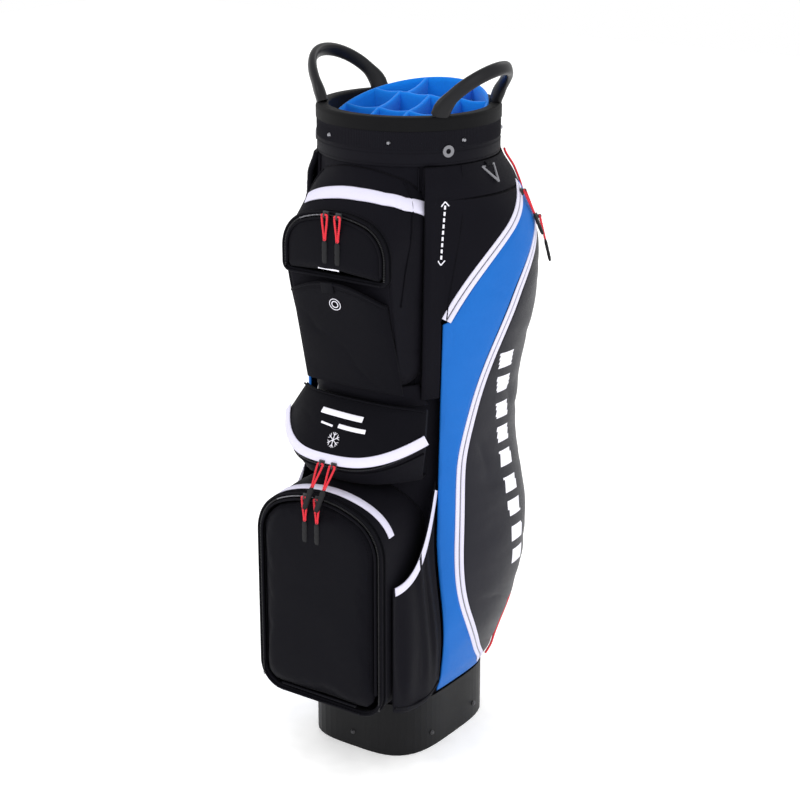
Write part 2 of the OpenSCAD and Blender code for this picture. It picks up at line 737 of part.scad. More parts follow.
// ---- sides ----
// How far the side surface stands off the body skin at angle a and height z
function bump(t, c, w) = 0.5 + 0.5 * cos(180 * clamp01(abs(t - c) / w));
function side_level(z) = let (t = body_t(z))
    0.55 * smooth(t / 0.16) * smooth((1 - t) / 0.12) + 0.45 * bump(t, 0.29, 0.24) + 0.52 * bump(t, 0.79, 0.24);
side_front_a = -38;
side_rear_a = 78;
function side_arch(a) = pow(sin(180 * clamp01((a - side_front_a) / (side_rear_a - side_front_a))), 1.3);
function side_out(a, z) = panel_t * smooth((z - cup_h - 2) / 30) * smooth((collar_z0 - z) / 30)
    + side_bulge * side_level(z) * side_arch(a) + 2;
function side_pt(a, z, g) = skin_pt(a, z, side_out(a, z) + g);

// Edges on the side, as angles from +X: the long zip, the coloured panel's front and the upper zip
function soft_ramp(t, c) = 0.5 * (t + sqrt(t * t + c * c));
function zt(f) = cup_h + f * (collar_z0 - cup_h);
function side_f(z) = (z - cup_h) / (collar_z0 - cup_h);
function zip_a(z) = let (f = side_f(z))
    -20 + soft_ramp(87 * (f - 0.469), 2.45) + 14 * pow(max(0, f - 0.76) / 0.123, 2)
    + 1370 * pow(max(0, 0.34 - f), 2.85);
function panel_a(z) = -34 + 9 * smooth((0.34 - side_f(z)) / 0.27);
upper_zip_f = 0.727;
upper_zip_z = zt(upper_zip_f);
function upper_zip_a(z) = let (q = max(0, side_f(z) - upper_zip_f)) -33 + 166 * q + 23 * pow(q / 0.223, 3);
tape_a = 3.1;
side_z0 = cup_h + 5;
side_z1 = zt(0.946);
apparel_z0 = cup_h + 14;
apparel_z1 = zt(0.912);
// Sheet over the side between two angle functions
module side_sheet(z0, z1, n, m, a0, a1, t, g) {
    zs = [for (i = [0 : n]) lerp(z0, z1, i / n)];
    sheet(
        [for (z = zs) [for (j = [0 : m]) side_pt(lerp(a0(z), a1(z), j / m), z, g + t)]],
        [for (z = zs) [for (j = [0 : m]) side_pt(lerp(a0(z), a1(z), j / m), z, g)]]);
}
function blue_front(z) = z < upper_zip_z ? panel_a(z) : upper_zip_a(z) + tape_a;
function blue_rear(z) = min(side_rear_a, zip_a(z)) - tape_a;
module blue_panel() {
    side_sheet(side_z0, side_z1, 22, 8, function(z) blue_front(z), function(z) max(blue_front(z) + 4, blue_rear(z)), 2.5, 0);
}
module panel_left() {
    color("#2f7fe0") place_side(-1) blue_panel();
}
module panel_right() {
    color("#2f7fe0") place_side(1) blue_panel();
}
module apparel_panel() {
    side_sheet(apparel_z0, apparel_z1, 18, 12, function(z) zip_a(z) + tape_a, function(z) side_rear_a, 2.5, 0);
}
module apparel_pocket_left() {
    color("#1c1c21") place_side(-1) apparel_panel();
}
module apparel_pocket_right() {
    color("#1c1c21") place_side(1) apparel_panel();
}
// Zip tapes: the long one along the side pocket and the short one under the upper side panel
module side_tapes() {
    w = tape_a - 0.3;
    side_sheet(apparel_z0, apparel_z1, 18, 2, function(z) zip_a(z) - w, function(z) zip_a(z) + w, 2.2, 0.4);
    side_sheet(upper_zip_z + 4, side_z1, 8, 2, function(z) upper_zip_a(z) - w, function(z) upper_zip_a(z) + w, 2.2, 0.4);
}
module side_zip_tracks() {
    color("#d9d6ec")
        for (s = [-1, 1])
            place_side(s) side_tapes();
}
// Black side panel with the cart strap passage behind its front half
pass_z0 = z_pouch0 - 14;
pass_z1 = collar_z0 - 18;
corner_a = -46;
function pass_rear(z) = z < upper_zip_z ? panel_a(z) - 1 : z < side_z1 ? upper_zip_a(z) - tape_a : side_rear_a;
function pass_lift(a) = 4 * clamp01((-34 - a) / 8);
function pass_row(z, g) = [for (j = [0 : 12]) let (a = lerp(corner_a, pass_rear(z), j / 12)) side_pt(a, z, g + pass_lift(a))];
module pass_panel() {
    zs = [for (i = [0 : 14]) lerp(pass_z0, pass_z1, i / 14)];
    sheet([for (z = zs) pass_row(z, 2.5)], [for (z = zs) pass_row(z, 0)]);
}
module pass_through_left() {
    color("#1a1a1f") place_side(-1) pass_panel();
}
module pass_through_right() {
    color("#1a1a1f") place_side(1) pass_panel();
}
// Stretch pocket between the ball pocket and the coloured panel
stretch_z0 = cup_h + 12;
stretch_z1 = zt(0.28);
stretch_z2 = zt(0.44);
function stretch_front(z, g) = [ball_hw + ring_t + 4 + g, ball_face + door_t + 12, z];
function stretch_pt(q, v, g) = let (
        z = lerp(stretch_z0, lerp(stretch_z1, stretch_z2, q * q), v),
        p = lerp(stretch_front(z, 0), side_pt(panel_a(z) - 2, z, 0), q))
    p + [g + 9 * sin(180 * q), -g * 0.4, 0];
function stretch_grid(g) = [for (i = [0 : 8]) [for (j = [0 : 8]) stretch_pt(j / 8, i / 8, g)]];
module stretch_panel() {
    sheet(stretch_grid(2), stretch_grid(0));
}
module stretch_pocket_left() {
    color("#232329") place_side(-1) stretch_panel();
}
module stretch_pocket_right() {
    color("#232329") place_side(1) stretch_panel();
}

// ---- back: shoulder strap and umbrella holder ----
strap_w = 38;
strap_t = 4;
strap_top = collar_z0 - 26;
strap_low = zt(0.5);
function back_y(z) = sec_cy(z) + sec_d(z);
function strap_y(v, z) = back_y(z) + 5 + 22 * sin(180 * v);
module shoulder_strap() {
    n = 16;
    color("#1d1d22")
        rotate([90, 0, 90])
            linear_extrude(height = strap_w, center = true)
                polygon(concat(
                    [for (i = [0 : n]) let (z = lerp(strap_low, strap_top, i / n)) [strap_y(i / n, z), z]],
                    [for (i = [n : -1 : 0]) let (z = lerp(strap_low, strap_top, i / n)) [strap_y(i / n, z) + strap_t, z]]));
}
module strap_pad() {
    n = 10;
    v0 = 0.24;
    v1 = 0.76;
    color("#2a2a30")
        rotate([90, 0, 90])
            linear_extrude(height = strap_w + 18, center = true)
                polygon(concat(
                    [for (i = [0 : n]) let (v = lerp(v0, v1, i / n), z = lerp(strap_low, strap_top, v))
                        [strap_y(v, z) + strap_t + 0.8, z]],
                    [for (i = [n : -1 : 0]) let (v = lerp(v0, v1, i / n), z = lerp(strap_low, strap_top, v))
                        [strap_y(v, z) + strap_t + 10, z]]));
}
module strap_anchors() {
    color("#2c2c31")
        for (z = [strap_low - 1, strap_top + 1])
            translate([-strap_w / 2 - 3, back_y(z) + 1.2, z - (z < strap_top ? 24 : 0)])
                cube([strap_w + 6, 12, 24]);
}
umbrella_len = 26;
umbrella_y = collar_back + collar_r + umbrella_d / 2 + 4.4;
module umbrella_ring() {
    color("#222226")
        translate([0, umbrella_y, collar_z0 + 10])
            difference() {
                union() {
                    cylinder(d = umbrella_d + 6, h = umbrella_len);
                    translate([-14, -umbrella_d / 2 - 3.6, 0])
                        cube([28, 8, umbrella_len]);
                }
                translate([0, 0, -1])
                    cylinder(d = umbrella_d, h = umbrella_len + 2);
            }
}

// ---- where the sliders sit ----
module on_crown(a, z_top, face) {
    r = crown + ring_t / 2 + door_clear;
    translate([r * sin(a), face - pull_out, z_top - crown + r * cos(a)])
        children();
}
ball_mid_a = -1.9;
upper_mid_a = 0.9;
half_a = 3.7;
module at_ball(side) {
    on_crown(ball_mid_a + side * half_a, z_ball1, ball_face) children();
}
module at_upper(side) {
    on_crown(upper_mid_a + side * half_a, z_up1, upper_face) children();
}
cooler_mid = 6;
cooler_half = 9.5;
cooler_tilt = 35;
module at_cooler(side) {
    x = cooler_mid + side * cooler_half;
    translate([x, lid_edge_y(x, 0) - lid_t * 0.77 - 5.2, lid_edge_z(x, 0) + 2])
        children();
}
// Side sliders stand on the tape, turned to face outwards and tilted along the bulge
module at_side(side, a, z, lean) {
    place_side(side)
        translate(side_pt(a, z, 9.4))
            rotate([0, 0, a + 90])
                rotate([-lean, 0, 0])
                    children();
}
apparel_slider_z = zt(0.883);
valuables_slider_z = zt(0.936);
module at_apparel(side) {
    at_side(side, zip_a(apparel_slider_z), apparel_slider_z, 14) children();
}
module at_valuables(side) {
    at_side(side, upper_zip_a(valuables_slider_z), valuables_slider_z, 24) children();
}
module ball_slider_left() {
    at_ball(-1) zip_slider();
}
module ball_pull_left() {
    at_ball(-1) zip_pull();
}
module ball_slider_right() {
    at_ball(1) zip_slider();
}
module ball_pull_right() {
    at_ball(1) zip_pull();
}
module upper_slider_left() {
    at_upper(-1) zip_slider();
}
module upper_pull_left() {
    at_upper(-1) zip_pull();
}
module upper_slider_right() {
    at_upper(1) zip_slider();
}
module upper_pull_right() {
    at_upper(1) zip_pull();
}
module cooler_slider_left() {
    at_cooler(-1) zip_slider();
}
module cooler_pull_left() {
    at_cooler(-1)
        rotate([-cooler_tilt, 0, 0])
            zip_pull();
}
module cooler_slider_right() {
    at_cooler(1) zip_slider();
}
module cooler_pull_right() {
    at_cooler(1)
        rotate([-cooler_tilt, 0, 0])
            zip_pull();
}
module apparel_slider_left() {
    at_apparel(-1) zip_slider();
}
module apparel_pull_left() {
    at_apparel(-1) zip_pull();
}
module apparel_slider_right() {
    at_apparel(1) zip_slider();
}
module apparel_pull_right() {
    at_apparel(1) zip_pull();
}
module valuables_slider_left() {
    at_valuables(-1) zip_slider();
}
module valuables_pull_left() {
    at_valuables(-1) zip_pull();
}
module valuables_slider_right() {
    at_valuables(1) zip_slider();
}
module valuables_pull_right() {
    at_valuables(1) zip_pull();
}

base_cup();
base_rivets();
base_pad();
body_shell();
stay_rods();
collar_band();
collar_screws();
collar_eyelets();
top_rim();
divider_frame();
divider_ring();
divider_sleeves();
handle_left();
handle_right();
d_ring_left();
d_ring_right();
strap_loops();
ball_pocket_box();
ball_door();
upper_pocket_box();
upper_door();
zip_tracks();
range_pouch();
range_magnets();
cooler_lid();
cooler_box();
cooler_liner();
panel_left();
panel_right();
apparel_pocket_left();
apparel_pocket_right();
side_zip_tracks();
pass_through_left();
pass_through_right();
stretch_pocket_left();
stretch_pocket_right();
shoulder_strap();
strap_pad();
strap_anchors();
umbrella_ring();
ball_slider_left();
ball_pull_left();
ball_slider_right();
ball_pull_right();
upper_slider_left();
upper_pull_left();
upper_slider_right();
upper_pull_right();
cooler_slider_left();
cooler_pull_left();
cooler_slider_right();
cooler_pull_right();
apparel_slider_left();
apparel_pull_left();
apparel_slider_right();
apparel_pull_right();
valuables_slider_left();
valuables_pull_left();
valuables_slider_right();
valuables_pull_right();
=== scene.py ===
"""Golf cart bag: sewn covers, padded doors, zips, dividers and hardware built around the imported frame."""
from __future__ import annotations

import logging
import math
from dataclasses import dataclass, field
from enum import Enum
from typing import Callable, Sequence

import bpy
import numpy as np
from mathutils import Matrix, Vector


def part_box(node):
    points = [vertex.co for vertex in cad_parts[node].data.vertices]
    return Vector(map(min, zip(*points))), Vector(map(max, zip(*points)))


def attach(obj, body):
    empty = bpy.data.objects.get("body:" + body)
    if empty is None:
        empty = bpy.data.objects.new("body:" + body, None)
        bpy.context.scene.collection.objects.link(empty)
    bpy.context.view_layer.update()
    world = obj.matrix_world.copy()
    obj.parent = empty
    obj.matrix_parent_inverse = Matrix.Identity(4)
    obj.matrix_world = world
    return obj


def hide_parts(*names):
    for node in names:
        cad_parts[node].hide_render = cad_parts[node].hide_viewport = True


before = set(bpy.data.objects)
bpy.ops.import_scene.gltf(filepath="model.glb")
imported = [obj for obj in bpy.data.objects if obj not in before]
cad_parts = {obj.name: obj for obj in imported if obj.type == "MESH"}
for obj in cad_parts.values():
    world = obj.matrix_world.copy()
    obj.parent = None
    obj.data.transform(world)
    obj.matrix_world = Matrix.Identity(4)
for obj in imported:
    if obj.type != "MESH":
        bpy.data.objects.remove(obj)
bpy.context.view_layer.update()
MM = 0.001
LOG = logging.getLogger("cart_bag")
Array = np.ndarray


class Side(Enum):
    """Which side of the bag a piece is sewn on."""

    LEFT = -1
    RIGHT = 1

    @property
    def word(self) -> str:
        """The side's name, as used in node and body names."""
        return self.name.lower()


def lerp(a: float | Array, b: float | Array, t: float | Array) -> float | Array:
    """Blend from a to b by t."""
    return a + (b - a) * t


def smooth(t: float | Array) -> Array:
    """Ease a value from 0 to 1."""
    s = np.clip(t, 0.0, 1.0)
    return s * s * (3 - 2 * s)


def ripple(p: Array, scale: float, seed: float) -> Array:
    """A soft, repeatable unevenness from -1 to 1.

    Args:
        p: Points, in millimetres.
        scale: Size of a swell, in millimetres.
        seed: Picks one pattern.

    Returns:
        One value for each point.
    """
    x, y, z = p[..., 0] / scale, p[..., 1] / scale, p[..., 2] / scale
    a = np.sin(1.7 * x + 0.6 * z + seed) * np.cos(1.3 * z - 0.8 * y + 1.9 * seed)
    b = np.sin(2.9 * z + 1.1 * x + 2.7 * seed) * np.cos(2.3 * y + 0.7 * z + seed)
    c = np.sin(4.7 * z - 2.2 * x + 4.1 * seed + 1.5 * a)
    return 0.5 * a + 0.33 * b + 0.17 * c


def crease(p: Array, scale: float, seed: float) -> Array:
    """Narrow folds such as pulled cloth shows, from 0 to 1.

    Args:
        p: Points, in millimetres.
        scale: Distance between folds, in millimetres.
        seed: Picks one pattern.

    Returns:
        One value for each point.
    """
    bend = 1.4 * ripple(p, scale * 2.2, seed + 3.1)
    wave = np.abs(np.sin((0.8 * p[..., 2] + 0.6 * p[..., 0] + 0.5 * p[..., 1]) / scale + bend + seed))
    return (1 - wave) ** 3 * smooth(0.5 + ripple(p, scale * 1.7, seed + 7.7))


@dataclass(frozen=True)
class BagForm:
    """The bag's shared surfaces, in millimetres: an oval body over a square-cornered base cup."""

    rim_h: float = 880.0
    cup_h: float = 78.0
    collar_z0: float = 818.0
    collar_z1: float = 862.0
    collar_r: float = 120.0
    collar_back: float = 20.0
    low_w: float = 88.6
    low_d: float = 109.6
    top_r: float = 116.6
    corner: float = 3.6
    bulge: float = 44.0
    pad: float = 7.0

    def level(self, z: float | Array) -> Array:
        """Height as a share of the cloth body, from 0 at the cup to 1 at the collar."""
        return (np.asarray(z, float) - self.cup_h) / (self.collar_z0 - self.cup_h)

    def skin(self, a: float | Array, z: float | Array, g: float | Array = 0.0) -> Array:
        """A point on the body at angle a in degrees and height z, g outside it."""
        t = np.clip(self.level(z), 0, 1)
        w, d = lerp(self.low_w, self.top_r, t) + g, lerp(self.low_d, self.top_r, t) + g
        n, r = lerp(self.corner, 2.0, t), np.radians(a)
        radius = ((np.abs(np.cos(r)) / w) ** n + (np.abs(np.sin(r)) / d) ** n) ** (-1 / n)
        x, y = radius * np.cos(r), self.collar_back * t + radius * np.sin(r)
        return np.stack(np.broadcast_arrays(x, y, np.asarray(z, float)), -1)

    def skin_y(self, x: float | Array, z: float | Array, g: float = 0.0) -> Array:
        """How far back the front of the body lies at x and z."""
        t = np.clip(self.level(z), 0, 1)
        w, d = lerp(self.low_w, self.top_r, t) + g, lerp(self.low_d, self.top_r, t) + g
        n = lerp(self.corner, 2.0, t)
        q = np.minimum(0.985, np.abs(x) / w)
        return self.collar_back * t - d * (1 - q**n) ** (1 / n)

    def stand_off(self, a: float | Array, z: float | Array) -> Array:
        """How far the side covers stand off the body."""
        f, pi = np.clip(self.level(z), 0, 1), math.pi
        hump = lambda c: 0.5 + 0.5 * np.cos(pi * np.clip(np.abs(f - c) / 0.24, 0, 1))
        rise = 0.55 * smooth(f / 0.16) * smooth((1 - f) / 0.12) + 0.45 * hump(0.29) + 0.52 * hump(0.79)
        arch = np.sin(pi * np.clip((np.asarray(a, float) + 38) / 116, 0, 1)) ** 1.3
        edge = smooth((np.asarray(z, float) - self.cup_h - 2) / 30) * smooth((self.collar_z0 - z) / 30)
        return self.pad * edge + self.bulge * rise * arch + 2

    def side(self, a: float | Array, z: float | Array, g: float | Array = 0.0) -> Array:
        """A point on the right side cover, g outside it."""
        return self.skin(a, z, self.stand_off(a, z) + g)

    def long_zip(self, z: float | Array) -> Array:
        """Angle of the long side zip at height z."""
        f = self.level(z)
        t = 87 * (f - 0.469)
        top = 14 * (np.maximum(0, f - 0.76) / 0.123) ** 2
        return -20 + 0.5 * (t + np.sqrt(t * t + 6)) + top + 1370 * np.maximum(0, 0.34 - f) ** 2.85

    def panel_front(self, z: float | Array) -> Array:
        """Angle of the coloured panel's front edge under the short zip."""
        return -34 + 9 * smooth((0.34 - self.level(z)) / 0.27)

    def short_zip(self, z: float | Array) -> Array:
        """Angle of the short upper zip at height z."""
        q = np.maximum(0, self.level(z) - 0.727)
        return -33 + 166 * q + 23 * (q / 0.223) ** 3


class Sock:
    """A shader value that takes part in plain arithmetic."""

    def __init__(self, kit: "Shader", socket: bpy.types.NodeSocket) -> None:
        """Wrap one socket of a material being built."""
        self.kit, self.socket = kit, socket

    def _math(self, operation: str, a: "Sock | float", b: "Sock | float") -> "Sock":
        """Add one Math node."""
        return self.kit.node("ShaderNodeMath", {"operation": operation}, {0: a, 1: b})

    def __add__(self, other: "Sock | float") -> "Sock":
        """Sum."""
        return self._math("ADD", self, other)

    __radd__ = __add__

    def __mul__(self, other: "Sock | float") -> "Sock":
        """Product."""
        return self._math("MULTIPLY", self, other)

    __rmul__ = __mul__

    def __sub__(self, other: "Sock | float") -> "Sock":
        """Difference."""
        return self._math("SUBTRACT", self, other)

    def __rsub__(self, other: "Sock | float") -> "Sock":
        """Difference, the other way round."""
        return self._math("SUBTRACT", other, self)

    def sine(self) -> "Sock":
        """Sine."""
        return self._math("SINE", self, 0.0)


class Shader:
    """One material's node tree."""

    def __init__(self, name: str) -> None:
        """Start an empty material.

        Args:
            name: The material's name.
        """
        self.material = bpy.data.materials.new(name)
        self.material.use_nodes = True
        self.tree = self.material.node_tree
        self.surface = self.tree.nodes["Principled BSDF"]

    def node(self, kind: str, settings: dict[str, object] | None = None,
             values: dict[int | str, object] | None = None, out: int | str = 0) -> Sock:
        """Add one node.

        Args:
            kind: The node's type.
            settings: Its settings, set before its sockets.
            values: Values or links for its inputs.
            out: Which output to use.

        Returns:
            The chosen output.
        """
        made = self.tree.nodes.new(kind)
        for key, value in (settings or {}).items():
            setattr(made, key, value)
        for key, value in (values or {}).items():
            self.feed(made.inputs[key], value)
        return Sock(self, made.outputs[out])

    def feed(self, target: bpy.types.NodeSocket, value: object) -> None:
        """Set or link one input."""
        if isinstance(value, Sock):
            self.tree.links.new(value.socket, target)
        else:
            target.default_value = value

    def noise(self, size_mm: float, detail: float = 2.0, stretch: Sequence[float] = (1, 1, 1)) -> Sock:
        """Even noise about 0.5 whose blots are size_mm across."""
        where = self.node("ShaderNodeTexCoord", out="Object")
        placed = self.node("ShaderNodeMapping", None, {0: where, "Scale": tuple(stretch)})
        values = {"Vector": placed, "Scale": 1000 / size_mm, "Detail": detail}
        return self.node("ShaderNodeTexNoise", None, values)

    def mix(self, factor: Sock | float, a: Sequence[float], b: Sequence[float]) -> Sock:
        """Blend two colours."""
        return self.node("ShaderNodeMix", {"data_type": "RGBA"}, {0: factor, 6: (*a, 1), 7: (*b, 1)}, 2)

    def bump(self, height: Sock, depth_mm: float, strength: float = 1.0) -> Sock:
        """A bump that stands depth_mm high."""
        values = {"Height": height, "Distance": depth_mm * MM, "Strength": strength}
        return self.node("ShaderNodeBump", None, values)

    def fixed(self, **values: object) -> None:
        """Set sockets that are the same all over."""
        for key, value in values.items():
            self.surface.inputs[key.replace("_", " ")].default_value = value


@dataclass(frozen=True)
class Cloth:
    """Woven cloth: threads both ways, soft creasing and a faint sheen."""

    name: str
    colour: tuple[float, float, float]
    shade: tuple[float, float, float]
    thread: float = 0.9
    weave: float = 0.10
    creases: float = 0.5
    crease_size: float = 26.0
    rough: float = 0.72
    sheen: float = 0.01
    shine: float = 0.08

    def build(self) -> bpy.types.Material:
        """Make the material."""
        s = Shader(self.name)
        where = s.node("ShaderNodeTexCoord", out="Object")
        axes = s.node("ShaderNodeSeparateXYZ", None, {0: where})
        x, y, z = (Sock(s, axes.socket.node.outputs[i]) for i in range(3))
        turn = 2000 * math.pi / self.thread
        warp, weft = ((x - y) * turn).sine(), (z * turn).sine()
        threads = (warp * weft) * 0.5 + 0.5
        soft, fine = s.noise(self.crease_size, 3.0, (1, 1, 0.7)), s.noise(3.2, 2.0)
        worn = s.noise(60.0, 2.0)
        tone = worn * 0.55 + fine * 0.35 + threads * 0.1
        s.feed(s.surface.inputs["Base Color"], s.mix(tone, self.colour, self.shade))
        s.feed(s.surface.inputs["Roughness"], fine * 0.12 + worn * 0.10 + (self.rough - 0.11))
        height = soft * self.creases + fine * 0.05 + threads * self.weave
        s.feed(s.surface.inputs["Normal"], s.bump(height, 1.0, 0.8))
        s.fixed(Sheen_Weight=self.sheen, Sheen_Roughness=0.45, Specular_IOR_Level=self.shine,
                Specular_Tint=(0.85, 0.85, 1.0, 1))
        return s.material


@dataclass(frozen=True)
class Moulded:
    """Moulded plastic or rubber with a fine grain."""

    name: str
    colour: tuple[float, float, float]
    rough: float = 0.48
    grain: float = 0.06
    grain_size: float = 0.9
    coat: float = 0.0
    shine: float = 0.22

    def build(self) -> bpy.types.Material:
        """Make the material."""
        s = Shader(self.name)
        fine, broad = s.noise(self.grain_size, 2.0), s.noise(28.0, 3.0)
        lighter = tuple(c * 1.35 + 0.004 for c in self.colour)
        s.feed(s.surface.inputs["Base Color"], s.mix(broad * 0.8 + fine * 0.2, self.colour, lighter))
        s.feed(s.surface.inputs["Roughness"], broad * 0.16 + fine * 0.08 + (self.rough - 0.12))
        s.feed(s.surface.inputs["Normal"], s.bump(fine + broad * 0.25, self.grain, 0.8))
        s.fixed(Coat_Weight=self.coat, Coat_Roughness=0.25, Specular_IOR_Level=self.shine)
        return s.material


@dataclass(frozen=True)
class Metal:
    """Bare or plated metal with fine handling marks."""

    name: str
    colour: tuple[float, float, float]
    rough: float = 0.3

    def build(self) -> bpy.types.Material:
        """Make the material."""
        s = Shader(self.name)
        marks, broad = s.noise(1.2, 2.0, (1, 1, 0.15)), s.noise(6.0, 2.0)
        darker = tuple(c * 0.7 for c in self.colour)
        s.feed(s.surface.inputs["Base Color"], s.mix(broad, self.colour, darker))
        s.feed(s.surface.inputs["Roughness"], marks * 0.14 + broad * 0.12 + (self.rough - 0.1))
        s.feed(s.surface.inputs["Normal"], s.bump(marks, 0.03, 0.6))
        s.fixed(Metallic=1.0)
        return s.material


class Finish(Enum):
    """Every finish on the bag."""

    BODY = Cloth("body_cloth", (0.0030, 0.0028, 0.0044), (0.0058, 0.0054, 0.0082))
    DOOR = Cloth("door_cloth", (0.0022, 0.0021, 0.0032), (0.0042, 0.0040, 0.0060), creases=0.35, rough=0.66, shine=0.07)
    APPAREL = Cloth("apparel_cloth", (0.0036, 0.0034, 0.0052), (0.0078, 0.0074, 0.0108), creases=1.1, crease_size=34,
                    rough=0.44, shine=0.30)
    BLUE = Cloth("blue_cloth", (0.0040, 0.1500, 0.5600), (0.0030, 0.1150, 0.4600), creases=0.9,
                 crease_size=30, rough=0.56, shine=0.25)
    BRUSHED = Cloth("brushed_divider_cloth", (0.0080, 0.2600, 0.9000), (0.0040, 0.1750, 0.7000), thread=2.2, weave=0.3,
                    creases=0.6, crease_size=9, rough=0.85, sheen=0.25)
    TAPE = Cloth("pale_zip_tape", (0.7800, 0.7600, 0.9000), (0.7000, 0.6800, 0.8400), thread=1.4, weave=0.16, creases=0.1,
                 rough=0.6)
    STRETCH = Cloth("stretch_knit", (0.0034, 0.0032, 0.0048), (0.0070, 0.0066, 0.0096), thread=1.6, weave=0.3, creases=0.3)
    WEBBING = Cloth("webbing", (0.0030, 0.0030, 0.0042), (0.0070, 0.0070, 0.0090), thread=2.4, weave=0.6, creases=0.1)
    COLLAR = Cloth("collar_cloth", (0.0036, 0.0034, 0.0050), (0.0072, 0.0068, 0.0098), thread=1.2, creases=0.25, rough=0.6)
    RED = Cloth("red_cord", (0.5200, 0.0060, 0.0160), (0.3400, 0.0040, 0.0100), thread=1.1, weave=0.3, creases=0.05,
                sheen=0.3)
    FOIL = Cloth("foil_lining", (0.4200, 0.4300, 0.4600), (0.3300, 0.3400, 0.3700), creases=1.6, crease_size=9, rough=0.36,
                 sheen=0.0)
    PRINT = Moulded("white_print", (0.7600, 0.7500, 0.8200), 0.5, 0.02)
    RIM = Moulded("rim_moulding", (0.0016, 0.0016, 0.0022), 0.62, 0.16, 1.2, 0.0, 0.10)
    GRIP = Moulded("grip_moulding", (0.0036, 0.0036, 0.0050), 0.40, 0.05, 0.6, 0.0, 0.22)
    CUP = Moulded("cup_moulding", (0.0022, 0.0022, 0.0030), 0.46, 0.10, 0.7, 0.0, 0.16)
    RUBBER = Moulded("soft_rubber", (0.0050, 0.0050, 0.0064), 0.58, 0.06, 0.5)
    STAY = Moulded("glass_fibre", (0.4600, 0.4600, 0.4200), 0.4, 0.02)
    STEEL = Metal("bright_steel", (0.3400, 0.3400, 0.3700), 0.28)
    TEETH = Metal("zip_teeth", (0.4200, 0.4200, 0.4600), 0.36)
    BLACK_METAL = Metal("black_metal", (0.0150, 0.0150, 0.0190), 0.40)
    GUNMETAL = Metal("gunmetal", (0.0200, 0.0200, 0.0240), 0.42)

    def material(self) -> bpy.types.Material:
        """The finish as a Blender material, made once."""
        return bpy.data.materials.get(self.value.name) or self.value.build()


